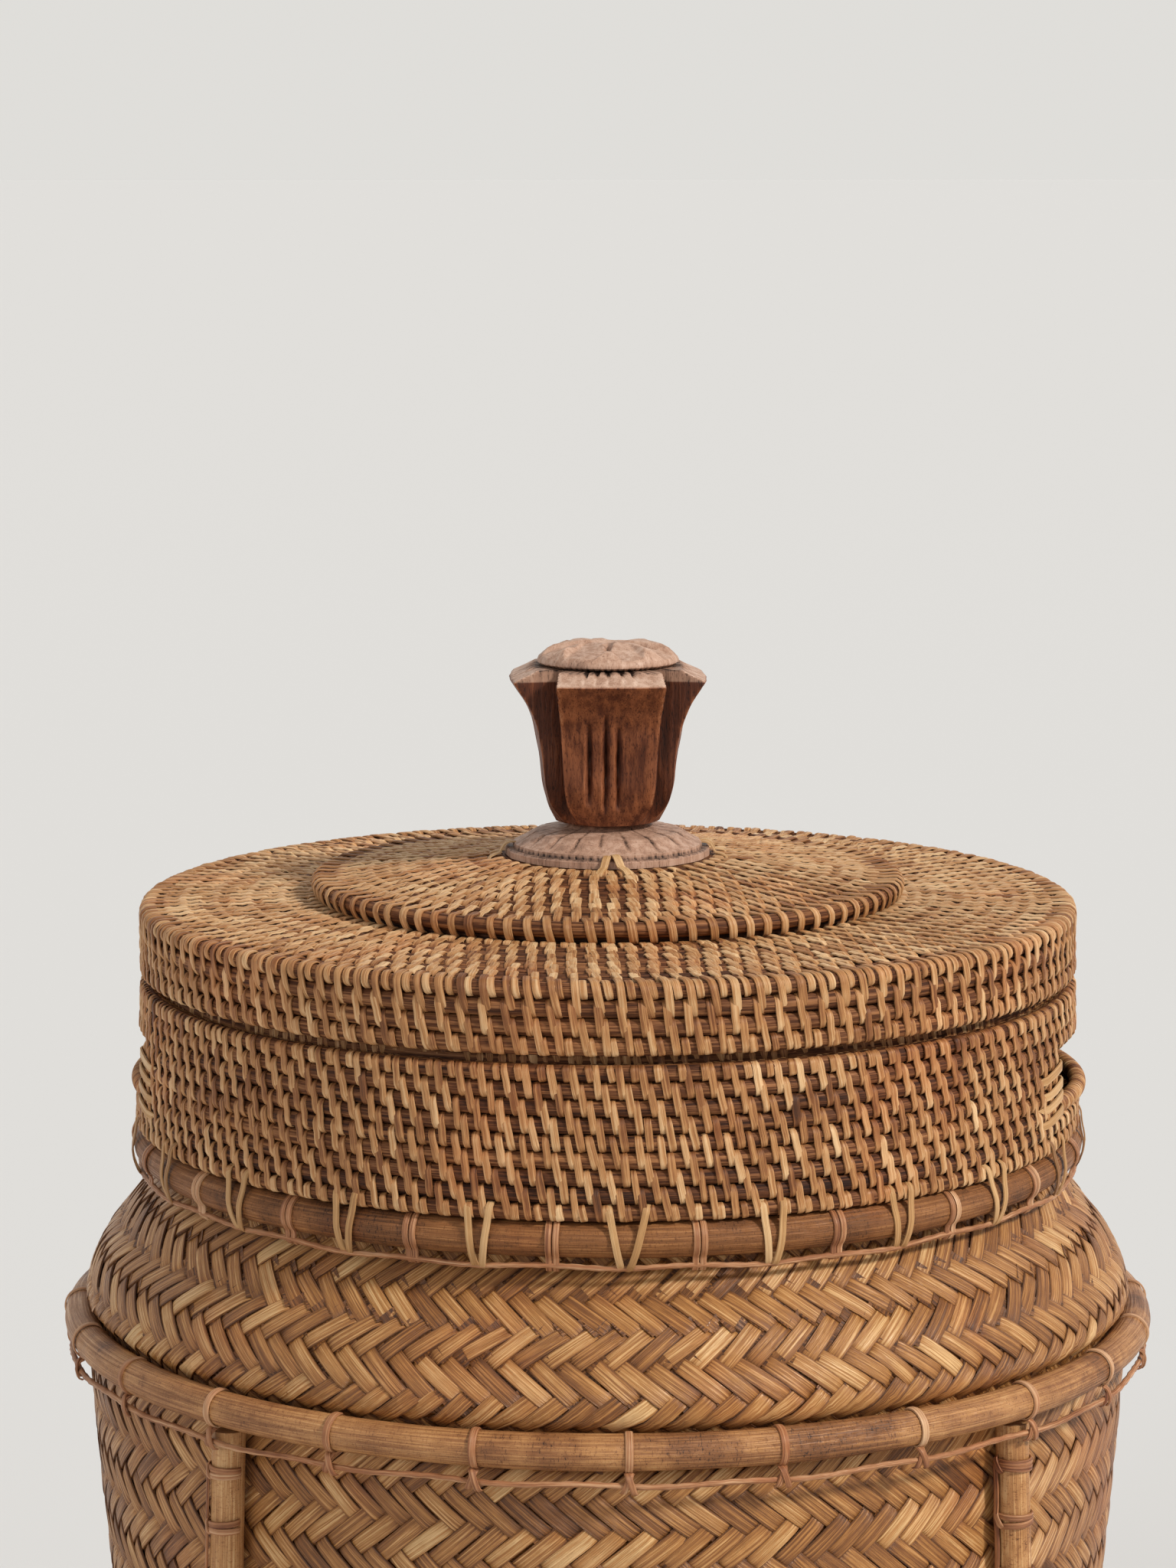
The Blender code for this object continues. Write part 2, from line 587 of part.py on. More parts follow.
def build_knob():
    """The carved knob: a domed cap over four flared petals, on a low cone."""
    foot = KNOB_FOOT_Z
    top = foot + KNOB_HEIGHT
    cone_top = foot + FLANGE_RISE
    bowl_foot = cone_top + KNOB_NECK_HEIGHT
    bowl = top - KNOB_LIP_DROP - bowl_foot
    flare = PETAL_TIP_RADIUS - BOWL_RADIUS
    swell = BOWL_RADIUS - BOWL_FOOT_RADIUS
    guide = petal_ring(BOWL_RADIUS, PETAL_HALF_WIDTH, PETAL_HALF_WIDTH * 1.08, 0.0)

    rings = []
    # Domed cap: share of its radius, share of its height below its top
    for share, drop in ((0.26, 0.0), (0.60, 0.15), (0.86, 0.45), (1.0, 0.83), (0.97, 1.0)):
        rings.append(round_ring(KNOB_CAP_RADIUS * share, top - KNOB_CAP_HEIGHT * drop, guide))
    # Share of the bowl's height, face radius, petal's and notch corner's share of the half width
    levels = [(1.000, PETAL_TIP_RADIUS, 1.15, 1.20),
              (0.955, BOWL_RADIUS + flare * 0.86, 1.13, 1.18),
              (0.850, BOWL_RADIUS + flare * 0.50, 1.09, 1.145),
              (0.700, BOWL_RADIUS + flare * 0.20, 1.04, 1.105),
              (0.480, BOWL_RADIUS, 1.0, 1.08),
              (0.260, BOWL_RADIUS - swell * 0.16, 0.96, 1.04),
              (0.110, BOWL_RADIUS - swell * 0.48, 0.88, 0.947),
              (0.000, BOWL_FOOT_RADIUS, 0.72, 0.763)]
    for share, face, petal, corner in levels:
        rings.append(petal_ring(face, PETAL_HALF_WIDTH * petal, PETAL_HALF_WIDTH * corner,
                                bowl_foot + bowl * share))
    # Neck, cone and stepped rim of the flange, in heights of the rim
    step = FLANGE_RIM_HEIGHT
    rim_top = foot + step
    rings += [round_ring(KNOB_NECK_RADIUS, bowl_foot - KNOB_NECK_HEIGHT * 0.27, guide),
              round_ring(KNOB_NECK_RADIUS * 1.1, cone_top + KNOB_NECK_HEIGHT * 0.27, guide),
              round_ring(FLANGE_RADIUS * 0.72, cone_top - step * 0.32, guide),
              round_ring(FLANGE_RADIUS - step * 1.16, rim_top + step, guide),
              round_ring(FLANGE_RADIUS - step * 1.37, rim_top + step * 0.32, guide),
              round_ring(FLANGE_RADIUS - step * 0.42, rim_top + step * 0.32, guide),
              round_ring(FLANGE_RADIUS, rim_top, guide),
              round_ring(FLANGE_RADIUS, foot, guide)]
    knob = loft("knob", rings, WOOD, close_ends=True)
    smooth(knob, 32.0)
    # Two crossed notches in the cap, each the lower half of a square bar set on edge
    half = CAP_NOTCH_WIDTH / 2.0
    for name, turn in (("cap_notch_a", 40.0), ("cap_notch_b", 130.0)):
        cutter = box_cutter(name, (-KNOB_CAP_RADIUS * 0.7, -half, -half),
                            (KNOB_CAP_RADIUS * 0.7, half, half))
        on_edge = Matrix.Rotation(math.radians(turn), 4, "Z") @ Matrix.Rotation(math.pi / 4.0, 4, "X")
        depth = math.sqrt(2.0) * half - CAP_NOTCH_DEPTH
        cutter.matrix_world = Matrix.Translation((0.0, 0.0, top + depth)) @ on_edge
        cut(knob, cutter)


def build_knob_ties():
    """Four pale ties that hold the flange down to the crown."""
    rim_top = KNOB_FOOT_Z + FLANGE_RIM_HEIGHT
    room = KNOB_TIE_RADIUS + GAP
    end = (FLANGE_RADIUS + KNOB_TIE_REACH, KNOB_SEAT_Z + room + GAP)
    edge = (FLANGE_RADIUS + 1.6 * room, rim_top + 0.4 * room)
    inner = (FLANGE_RADIUS - FLANGE_RIM_HEIGHT * 0.84, rim_top + FLANGE_RIM_HEIGHT * 0.74 + room)
    for name, degrees in (("knob_tie_right", 0.0), ("knob_tie_back", 90.0),
                          ("knob_tie_left", 180.0), ("knob_tie_front", 270.0)):
        points = []
        for (radius, height), turn in ((end, -5.5), (edge, -3.6), (inner, -0.6),
                                       (inner, 3.4), (edge, 5.6), (end, 9.5)):
            angle = math.radians(degrees + turn)
            points.append((radius * math.cos(angle), radius * math.sin(angle), height))
        tube(name, points, KNOB_TIE_RADIUS, PALE, sides=6)


def hoop_lashing(name, hoop_radius, hoop_height, cane_radius, drop, ties, width, reach, first):
    """One strand that runs below a hoop and loops up over it at each tie."""
    offset = (GAP + STRAND_RADIUS) / math.cos(math.pi / CANE_SIDES)
    path = cane_radius + offset
    runner_radius = hoop_radius + cane_radius * 0.58
    half = width / 2.0
    points = []
    for tie in range(ties):
        angle = first + 2.0 * math.pi * tie / ties
        # Side of the tie, then the angles up round the cane's outside in eighths of a turn
        legs = [(-half, eighth) for eighth in range(-1, reach + 1)]
        legs += [(half, eighth) for eighth in range(reach, -2, -1)]
        ring = [(-half, runner_radius, hoop_height - drop)]
        for side, eighth in legs:
            climb = eighth * math.pi / 4.0
            ring.append((side, hoop_radius + path * math.cos(climb),
                         hoop_height + path * math.sin(climb)))
        ring.append((half, runner_radius, hoop_height - drop))
        for side, radius, height in ring:
            turn = angle + side / hoop_radius
            points.append((radius * math.cos(turn), radius * math.sin(turn), height))
    tube(name, points, STRAND_RADIUS, STRAND, cyclic=True)
    return points


def post_lashing(number, degrees):
    """One strand that runs down beside a post and loops across it at each tie."""
    angle = math.radians(degrees)
    out = Vector((math.cos(angle), math.sin(angle), 0.0))
    side = Vector((-math.sin(angle), math.cos(angle), 0.0))
    offset = (GAP + STRAND_RADIUS) / math.cos(math.pi / CANE_SIDES)
    path = POST_RADIUS + offset
    half = POST_TIE_WIDTH / 2.0
    points = []
    for tie in range(POST_TIES):
        middle = POST_TOP_Z - POST_FIRST_TIE - tie * POST_TIE_PITCH
        for level, corners in ((middle + half, (3, 2, 1, 0)), (middle - half, (0, 1, 2, 3))):
            for corner in corners:
                swing = (corner + 0.5) * 2.0 * math.pi / CANE_SIDES
                centre = out * post_spread(level) + Vector((0.0, 0.0, level))
                points.append(centre + side * (path * math.cos(swing)) + out * (path * math.sin(swing)))
    tube(f"post_lashing_{number}", points, STRAND_RADIUS, STRAND)
    return points


def least_gap(points, radius, cyclic):
    """Least clear distance of a strand to itself, between stretches that aren't neighbours."""
    line = np.array([tuple(point) for point in points])
    follow = np.roll(line, -1, axis=0)
    if not cyclic:
        line = line[:-1]
        follow = follow[:-1]
    steps = np.linspace(0.0, 1.0, 9)[:, None, None]
    samples = line[None] * (1.0 - steps) + follow[None] * steps
    count = line.shape[0]
    least = 1.0
    for k in range(count):
        apart = np.abs(np.arange(count) - k)
        if cyclic:
            apart = np.minimum(apart, count - apart)
        near = (apart > 2) & (apart < 40)
        if near.any():
            gaps = samples[:, None, near] - samples[None, :, k][:, :, None]
            least = min(least, float(np.sqrt((gaps ** 2).sum(axis=-1)).min()))
    return least - 2.0 * radius


def build_lashings():
    front = -math.pi / 2.0
    neck = hoop_lashing("neck_hoop_lashing", NECK_HOOP_RADIUS, NECK_Z, NECK_CANE_RADIUS,
                        NECK_RUNNER_DROP, NECK_TIES, NECK_TIE_WIDTH, 1, front + math.pi / NECK_TIES)
    middle = hoop_lashing("mid_hoop_lashing", MID_HOOP_RADIUS, BODY_HEIGHT, MID_CANE_RADIUS,
                          MID_RUNNER_DROP, MID_TIES, MID_TIE_WIDTH, 1, front)
    for name, points in (("neck hoop lashing", neck), ("middle hoop lashing", middle)):
        print(name, "least gap to itself, mm:", round(1000 * least_gap(points, STRAND_RADIUS, True), 2))
    for number, degrees in enumerate(POST_ANGLES, 1):
        points = post_lashing(number, degrees)
        print(f"post lashing {number} least gap to itself, mm:",
              round(1000 * least_gap(points, STRAND_RADIUS, False), 2))


def main():
    build_body()
    build_hoops()
    build_posts()
    build_collar()
    build_grips()
    build_bindings()
    build_lid()
    build_knob()
    build_knob_ties()
    build_lashings()


main()
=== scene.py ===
# %% [markdown]
# # A lidded fishing basket, strand by strand
#
# The basket is a twill-woven bamboo body, square at the foot and round at the neck, with a
# coiled rattan collar and a coiled lid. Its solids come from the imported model. This script
# lays the real surface on them: every stitch, every woven float, every wrapped tie.
#
# Basketry repeats a few small shapes thousands of times along curved surfaces. Modelling one
# stitch and scattering instances would be quick, but each real stitch bends with the coil
# below it. So a stitch here is a formula on a strip of paper, and numpy wraps the paper round
# the basket.

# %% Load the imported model
import math

import bpy
import numpy as np
from mathutils import Matrix, Vector


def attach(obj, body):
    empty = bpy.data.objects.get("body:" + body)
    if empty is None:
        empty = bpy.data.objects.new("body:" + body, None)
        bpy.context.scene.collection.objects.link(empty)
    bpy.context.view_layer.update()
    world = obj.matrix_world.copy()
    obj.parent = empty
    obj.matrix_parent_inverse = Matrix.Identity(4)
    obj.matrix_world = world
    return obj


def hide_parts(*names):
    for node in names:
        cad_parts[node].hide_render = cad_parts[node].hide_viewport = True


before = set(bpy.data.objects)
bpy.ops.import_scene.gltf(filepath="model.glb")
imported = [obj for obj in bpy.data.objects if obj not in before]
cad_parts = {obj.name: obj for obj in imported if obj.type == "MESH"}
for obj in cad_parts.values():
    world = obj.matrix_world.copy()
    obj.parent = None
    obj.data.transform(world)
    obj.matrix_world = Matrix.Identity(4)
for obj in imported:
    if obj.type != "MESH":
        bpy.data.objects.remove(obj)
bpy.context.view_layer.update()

# %% [markdown]
# The sizes below are the solids' own, in metres, so that each surface lies where its solid is.
# One seeded generator gives all the small irregularities, so every run makes the same basket.

# %% Sizes of the solids
CHANCE = np.random.default_rng(20)
FULL_TURN = 2.0 * math.pi
FRONT = -math.pi / 2.0
CLEARANCE = 0.0003

NECK_Z = 0.2631
NECK_RADIUS = 0.1420
NECK_CANE = 0.0056
NECK_HOOP_RADIUS = NECK_RADIUS + CLEARANCE + NECK_CANE
MIDDLE_Z = 0.2055
MIDDLE_RADIUS = 0.1649
MIDDLE_CANE = 0.0055
MIDDLE_HOOP_RADIUS = MIDDLE_RADIUS + CLEARANCE + MIDDLE_CANE
POST_RADIUS = 0.0053
WALL_TOP_Z = NECK_Z + NECK_CANE
WALL_FOOT = 0.0074
WALL_THICKNESS = 0.0022
SHOULDER_TOP_Z = NECK_Z - NECK_CANE * 0.86
SHOULDER_FOOT_Z = MIDDLE_Z + MIDDLE_CANE * 1.45
BODY_TOP_Z = MIDDLE_Z - MIDDLE_CANE * 1.27
POST_TOP_Z = BODY_TOP_Z - CLEARANCE
POST_FOOT_Z = 0.01046

COLLAR_TOP_Z = 0.31535
COLLAR_PITCH = 0.00515
COLLAR_ROWS = 9
COLLAR_FOOT_Z = COLLAR_TOP_Z - COLLAR_ROWS * COLLAR_PITCH
COLLAR_RADIUS = 0.1500
COLLAR_FLARE = 0.0020
COIL_HALF = 0.0022
HOLE_HALF = 0.0450
HOLE_TWIST = math.radians(-5.8)
HOLE_ROWS = (3, 7)
GRIP_Z = COLLAR_TOP_Z - 6.5 * COLLAR_PITCH
GRIP_RADIUS = 0.0028

SKIRT_FOOT_Z = 0.31785
SKIRT_PITCH = 0.0055
SKIRT_TOP_Z = SKIRT_FOOT_Z + 3 * SKIRT_PITCH
RIM_Z = SKIRT_TOP_Z + 0.0028
RIM_CANE = 0.0025
LID_RADIUS = 0.1500
BRIM_TOP_Z = RIM_Z - RIM_CANE + 2 * COIL_HALF
BRIM_INSIDE = 0.0920
UNDER_BRIM_INSIDE = 0.0885
CROWN_RADIUS = 0.0950
CROWN_CANE = 0.00255
CROWN_Z = RIM_Z + 0.0080
KNOB_SEAT_RADIUS = 0.0345
KNOB_SEAT_Z = RIM_Z + 0.0164
STITCH_PITCH = 0.0068
STAGGER = 0.39

# %% [markdown]
# The photograph is taken from about 1.45 m away, a little above the lid, with a long lens. The
# camera stands at the same place, and its focal length is given in the picture's pixels. The
# basket in the photograph is turned about two degrees, so here the camera goes round it by as
# much the other way, and the solids stay where they are.

# %% Camera
CAMERA_DISTANCE = 1.450
CAMERA_HEIGHT = RIM_Z + 0.2523
CAMERA_PITCH = 0.1460
CAMERA_ORBIT = math.radians(-2.1)
FOCAL_PIXELS = 5955.0
IMAGE_HEIGHT = 2048.0
SENSOR = 36.0
AIM_LEFT = 26.0 / FOCAL_PIXELS

camera_data = bpy.data.cameras.new("camera")
camera_data.sensor_width = SENSOR
camera_data.lens = SENSOR * FOCAL_PIXELS / IMAGE_HEIGHT
camera = bpy.data.objects.new("camera", camera_data)
bpy.context.scene.collection.objects.link(camera)
camera.location = (CAMERA_DISTANCE * math.sin(CAMERA_ORBIT),
                   -CAMERA_DISTANCE * math.cos(CAMERA_ORBIT), CAMERA_HEIGHT)
camera.rotation_euler = (math.pi / 2.0 - CAMERA_PITCH, 0.0, CAMERA_ORBIT + AIM_LEFT)
bpy.context.scene.camera = camera
bpy.context.scene.view_settings.view_transform = "Standard"

# %% [markdown]
# Shader graphs are easier to read as sums. `Value` wraps one socket and turns `+ - *` into
# Math nodes, and `Recipe.node` makes any other node from its type, settings and inputs.

# %% A small language for materials


class Value:
    """A number in a shader graph; arithmetic on it adds Math nodes."""

    def __init__(self, recipe, socket):
        self.recipe = recipe
        self.socket = socket

    def math(self, operation, *others):
        return self.recipe.node("Math", {"operation": operation}, dict(enumerate((self,) + others)))

    def __add__(self, other):
        return self.math("ADD", other)

    __radd__ = __add__

    def __mul__(self, other):
        return self.math("MULTIPLY", other)

    __rmul__ = __mul__

    def __sub__(self, other):
        return self.math("SUBTRACT", other)

    def __rsub__(self, other):
        return self.recipe.node("Math", {"operation": "SUBTRACT"}, {0: other, 1: self})

    def band(self, low, high):
        """0 below low, 1 above high, smooth between."""
        settings = {"interpolation_type": "SMOOTHSTEP"}
        return self.recipe.node("MapRange", settings, {0: self, 1: low, 2: high})


class Recipe:
    """One material: its nodes, and the Principled shader that they are plugged into."""

    def __init__(self, name):
        self.material = bpy.data.materials.new(name)
        self.material.use_nodes = True
        self.tree = self.material.node_tree
        self.shader = self.tree.nodes["Principled BSDF"]

    def link(self, value, socket):
        if isinstance(value, Value):
            self.tree.links.new(value.socket, socket)
        else:
            socket.default_value = value

    def node(self, kind, settings=None, inputs=None, output=0):
        made = self.tree.nodes.new("ShaderNode" + kind)
        for key, setting in (settings or {}).items():
            setattr(made, key, setting)
        for key, value in (inputs or {}).items():
            self.link(value, made.inputs[key])
        return Value(self, made.outputs[output])

    def tone(self):
        """The mesh's own tone, an Attribute node's third output."""
        return self.node("Attribute", {"attribute_name": "tone"}, output=2)

    def place(self):
        """Object coordinates, a Texture Coordinate node's fourth output."""
        return self.node("TexCoord", output=3)

    def stretched(self, vector, scale):
        return self.node("VectorMath", {"operation": "MULTIPLY"}, {0: vector, 1: scale})

    def noise(self, vector, scale, detail=3.0, rough=0.55):
        inputs = {"Vector": vector, "Scale": scale, "Detail": detail, "Roughness": rough}
        return self.node("TexNoise", {}, inputs)

    def ramp(self, amount, stops):
        """A colour for each amount; stops are (amount, colour)."""
        colour = self.node("ValToRGB", {}, {0: amount})
        elements = colour.socket.node.color_ramp.elements
        while len(elements) < len(stops):
            elements.new(1.0)
        for element, (position, shade) in zip(elements, stops):
            element.position = position
            element.color = (*shade, 1.0)
        return colour

    def mix(self, share, first, second, blend="MIX"):
        """Two colours mixed. The Mix node's colours are its inputs 6 and 7 and its output 2."""
        settings = {"data_type": "RGBA", "blend_type": blend}
        return self.node("Mix", settings, {0: share, 6: first, 7: second}, output=2)

    def finish(self, colour, roughness, height=None, depth=0.0002, **plain):
        self.link(colour, self.shader.inputs["Base Color"])
        self.link(roughness, self.shader.inputs["Roughness"])
        for key, number in plain.items():
            self.shader.inputs[key.replace("_", " ")].default_value = number
        if height is not None:
            bump = self.node("Bump", {}, {"Height": height, "Distance": depth, "Strength": 1.0})
            self.link(bump, self.shader.inputs["Normal"])
        return self.material


# %% [markdown]
# Rattan and bamboo are bundles of straight fibres. Split into strips they show fine lines along
# their length, drift in colour from strip to strip, and some carry stains. Their tone is also
# painted darker where shade falls on them and paler where light catches them. Each strip carries
# a UV map in real metres, along and across the fibre, and a `tone` that says how pale it is.
# Noise squeezed along the strip gives the lines at their true spacing.

# %% Fibre materials


def fibre(name, stops, lines, roughness, contrast=0.5, depth=0.00012, specks=0.0, drift=0.3,
          redden=0.0, sheen=0.3):
    """Split cane: noise stretched along the strip, over the strip's own tone and a slow drift."""
    made = Recipe(name)
    strip = made.node("UVMap", {"uv_map": "fibre"})
    place = made.place()
    along_fibre = made.stretched(strip, (28.0, lines, 0.0))
    grain = made.noise(along_fibre, 1.0, detail=4.0, rough=0.75).band(0.34, 0.66)
    slow = made.noise(place, 70.0, 3.0, 0.6)
    amount = made.tone() + (grain - 0.5) * contrast + (slow - 0.5) * drift
    if specks:
        # Short dark dashes across the cane, finer dots, and stains a few centimetres long
        across = made.stretched(strip, (1500.0, 420.0, 0.0))
        dashes = made.noise(across, 1.0, 3.0, 0.75).band(0.54, 0.66)
        dots = made.noise(strip, 1900.0, 2.0, 0.7).band(0.60, 0.68)
        stain = made.noise(place, 28.0, 4.0, 0.7).band(0.48, 0.66)
        amount = amount - dashes * specks * (stain * 0.6 + 0.4) - dots * specks * 0.7
        amount = amount - stain * specks * 0.5
    colour = made.ramp(amount, stops)
    if redden:
        patch = made.noise(place, 22.0, 3.0, 0.6).band(0.50, 0.66) * redden
        colour = made.mix(patch, colour, (1.0, 0.74, 0.60, 1.0), "MULTIPLY")
    rough = roughness + (0.5 - grain) * 0.2
    return made.finish(colour, rough, grain, depth, Specular_IOR_Level=sheen)


STITCH_STOPS = ((0.0, (0.060, 0.019, 0.006)), (0.30, (0.225, 0.081, 0.025)),
                (0.60, (0.475, 0.226, 0.082)), (1.0, (0.780, 0.510, 0.265)))
CORE_STOPS = ((0.0, (0.022, 0.007, 0.003)), (0.45, (0.118, 0.039, 0.013)),
              (1.0, (0.360, 0.155, 0.058)))
WEAVE_STOPS = ((0.0, (0.060, 0.018, 0.004)), (0.35, (0.230, 0.083, 0.019)),
               (0.65, (0.475, 0.210, 0.057)), (1.0, (0.780, 0.490, 0.220)))
CANE_STOPS = ((0.0, (0.045, 0.016, 0.006)), (0.40, (0.250, 0.096, 0.030)),
              (0.70, (0.505, 0.240, 0.084)), (1.0, (0.720, 0.450, 0.210)))
TIE_STOPS = ((0.0, (0.120, 0.034, 0.014)), (0.5, (0.430, 0.185, 0.078)),
             (1.0, (0.720, 0.450, 0.250)))
PALE_STOPS = ((0.0, (0.220, 0.095, 0.034)), (0.5, (0.500, 0.268, 0.103)),
              (1.0, (0.735, 0.480, 0.245)))

stitch_finish = fibre("rattan_stitch", STITCH_STOPS, 1000.0, 0.50, contrast=0.42, redden=0.45)
core_finish = fibre("rattan_core", CORE_STOPS, 800.0, 0.62, contrast=0.8, redden=0.4, sheen=0.2)
weave_finish = fibre("bamboo_strip", WEAVE_STOPS, 1400.0, 0.42, contrast=0.50, depth=0.00016,
                     redden=0.35, sheen=0.45)
# The layer between the floats gets this finish at a dark tone, as painted shade
gap_shade_finish = fibre("bamboo_gap_shade", WEAVE_STOPS, 900.0, 0.80, contrast=0.3, sheen=0.03)
cane_finish = fibre("whole_cane_skin", CANE_STOPS, 1300.0, 0.42, contrast=0.34, specks=0.42,
                    drift=0.6, sheen=0.4)
dark_cane_finish = fibre("dark_cane_skin", CANE_STOPS, 1300.0, 0.48, contrast=0.30, specks=0.34,
                         drift=0.35, redden=0.5, sheen=0.25)
tie_finish = fibre("rattan_tie", TIE_STOPS, 1500.0, 0.42, contrast=0.55, drift=0.7, redden=0.35)
pale_finish = fibre("pale_rattan_tie", PALE_STOPS, 1200.0, 0.48, contrast=0.4)

# %% [markdown]
# ## From paper to basket
#
# `Outline` is a profile turned about the axis, measured like a strip of paper: how far round,
# how far down the profile, how high off it. A coil, a stitch or a woven strip is then drawn flat.
# `Post` does the same for a straight cane.

# %% The turned surface


def round_axis(reach, turn, height):
    """Points at these distances from Z, turned by these angles, at these heights."""
    flat = (reach * np.cos(turn), reach * np.sin(turn), height)
    return np.stack(np.broadcast_arrays(*flat), axis=-1)


def spaced(count):
    """Equally spaced angles round a full turn, from 0."""
    return np.arange(count) * FULL_TURN / count


class Outline:
    """A profile of (radius, height) points turned about Z.

    A point at (turn, along, lift) is the profile's point at that length, pushed out by lift
    along its normal and turned by the angle. `corner` is added to the radius with the square of
    sin(2 turn), which makes a square with round corners.
    """

    def __init__(self, radius, height, corner=None):
        self.radius = np.asarray(radius, float)
        self.height = np.asarray(height, float)
        self.corner = np.zeros_like(self.radius) if corner is None else np.asarray(corner, float)
        step = np.hypot(np.diff(self.radius), np.diff(self.height))
        self.along = np.concatenate(([0.0], np.cumsum(step)))
        slope_r = np.gradient(self.radius, self.along)
        slope_z = np.gradient(self.height, self.along)
        size = np.hypot(slope_r, slope_z)
        self.out_r = -slope_z / size
        self.out_z = slope_r / size

    def read(self, values, along):
        return np.interp(along, self.along, values)

    def reach(self, turn, along):
        swing = np.sin(2.0 * turn) ** 2
        return self.read(self.radius, along) + self.read(self.corner, along) * swing

    def place(self, turn, along, lift):
        radius = self.reach(turn, along) + lift * self.read(self.out_r, along)
        height = self.read(self.height, along) + lift * self.read(self.out_z, along)
        return round_axis(radius, turn, height)


class Post:
    """A straight round cane, seen as paper: angle round it, length down it, lift off it."""

    def __init__(self, top, foot, out, radius):
        self.top = np.asarray(top, float)
        self.foot = np.asarray(foot, float)
        self.out = np.asarray(out, float)
        self.side = np.array((-self.out[1], self.out[0], 0.0))
        self.radius = radius
        self.length = float(np.linalg.norm(self.top - self.foot))

    def reach(self, turn, along):
        return np.full(np.shape(turn), self.radius)

    def place(self, turn, along, lift):
        middle = self.top + (self.foot - self.top) * (along / self.length)[..., None]
        out = ((self.radius + lift) * np.cos(turn))[..., None]
        aside = ((self.radius + lift) * np.sin(turn))[..., None]
        return middle + self.out * out + self.side * aside


# %% [markdown]
# A strand is a ring of points carried along a path. All strands of one kind share one array:
# (strand, station, ring point, xyz). Joining neighbours in that array gives every face at once.

# %% Strands into meshes


def ring_faces(count, stations, ring, closed):
    """Quads between neighbouring stations and ring points, and the quads that close open ends."""
    index = np.arange(count * stations * ring).reshape(count, stations, ring)
    here, ahead = index, np.roll(index, -1, axis=1)
    caps = []
    if not closed:
        here, ahead = here[:, :-1], ahead[:, :-1]
        for k in range(ring // 2 - 1):
            corners = (k, k + 1, ring - 2 - k, ring - 1 - k)
            caps.append(index[:, 0][:, corners])
            caps.append(index[:, -1][:, corners[::-1]])
    quads = np.stack((here, ahead, np.roll(ahead, -1, axis=2), np.roll(here, -1, axis=2)), -1)
    return quads, caps


def make_piece(name, body, finish, blocks, replaces=(), sharp=50.0):
    """Blocks of (points, uv, tone, closed) become one mesh piece that rides on a body.

    points is (strand, station, ring, 3). uv is the same with one more ring point, and one more
    station where the strand closes on itself, so that the pattern runs on over the seam.
    """
    co, faces, loop_uv, tones = [], [], [], []
    base = 0
    for points, uv, tone, closed in blocks:
        count, stations, ring, _ = points.shape
        quads, caps = ring_faces(count, stations, ring, closed)
        corners = np.stack((uv[:, :-1, :-1], uv[:, 1:, :-1], uv[:, 1:, 1:], uv[:, :-1, 1:]), -2)
        faces.append(quads.reshape(-1, 4) + base)
        loop_uv.append(corners.reshape(-1, 4, 2))
        flat_uv = uv[:, :stations, :ring].reshape(-1, 2)
        for cap in caps:
            faces.append(cap + base)
            loop_uv.append(flat_uv[cap])
        co.append(points.reshape(-1, 3))
        tone = np.asarray(tone, float)
        tone = tone if tone.ndim == 3 else tone.reshape(count, -1, 1)
        tones.append(np.broadcast_to(tone, (count, stations, ring)).reshape(-1))
        base += count * stations * ring
    co, faces = np.concatenate(co), np.concatenate(faces)
    loop_uv, tones = np.concatenate(loop_uv), np.concatenate(tones)
    a, b, c, d = (co[faces[:, k]] for k in range(4))
    volume = float((a * np.cross(b, c)).sum() + (a * np.cross(c, d)).sum()) / 6.0
    if volume < 0.0:
        faces, loop_uv = faces[:, ::-1], loop_uv[:, ::-1]
    mesh = bpy.data.meshes.new(name)
    mesh.vertices.add(len(co))
    mesh.vertices.foreach_set("co", co.ravel())
    mesh.loops.add(faces.size)
    mesh.loops.foreach_set("vertex_index", np.ascontiguousarray(faces).ravel())
    mesh.polygons.add(len(faces))
    mesh.polygons.foreach_set("loop_start", np.arange(0, faces.size, 4))
    mesh.update(calc_edges=True)
    layer = mesh.uv_layers.new(name="fibre")
    layer.uv.foreach_set("vector", np.ascontiguousarray(loop_uv, dtype=np.float32).ravel())
    mesh.attributes.new("tone", "FLOAT", "POINT").data.foreach_set("value", tones)
    mesh.validate()
    mesh.shade_smooth()
    mesh.set_sharp_from_angle(angle=math.radians(sharp))
    mesh.materials.append(finish)
    item = bpy.data.objects.new(name, mesh)
    bpy.context.scene.collection.objects.link(item)
    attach(item, body)
    if replaces:
        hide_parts(*replaces)
    print(f"{name}: {2 * len(faces)} triangles, {abs(volume) * 1e6:.1f} cm3")
    return item


# A strand's section, across and up: a split strip is flat below and rounded above
STRIP = np.array(((-1.0, 0.0), (-0.93, 0.74), (-0.50, 1.0), (0.50, 1.0), (0.93, 0.74), (1.0, 0.0)))
FLAT_STRIP = np.array(((-1.0, 0.0), (-0.985, 0.90), (-0.45, 1.0), (0.45, 1.0), (0.985, 0.90),
                       (1.0, 0.0)))
SHINGLE = np.array(((-1.0, -0.20), (-0.97, 0.48), (-0.74, 0.82), (0.74, 1.06), (0.97, 0.96),
                    (1.0, 0.0)))
PLAIN_STRIP = np.array(((-1.0, 0.0), (-0.5, 1.0), (0.5, 1.0), (1.0, 0.0)))


def round_section(sides):
    """A circle of points, from one side over the top to the other side and back below."""
    return np.stack((-np.cos(spaced(sides)), np.sin(spaced(sides))), axis=1)


def lengths_round(section):
    """How far each point of a closed section is from its first one, and back to that one."""
    step = np.diff(np.concatenate((section, section[:1])), axis=0)
    return np.concatenate(([0.0], np.cumsum(np.hypot(*step.T))))


def round_girth(sides, radius):
    """The same for a circle's points."""
    return np.arange(sides + 1) * FULL_TURN / sides * radius


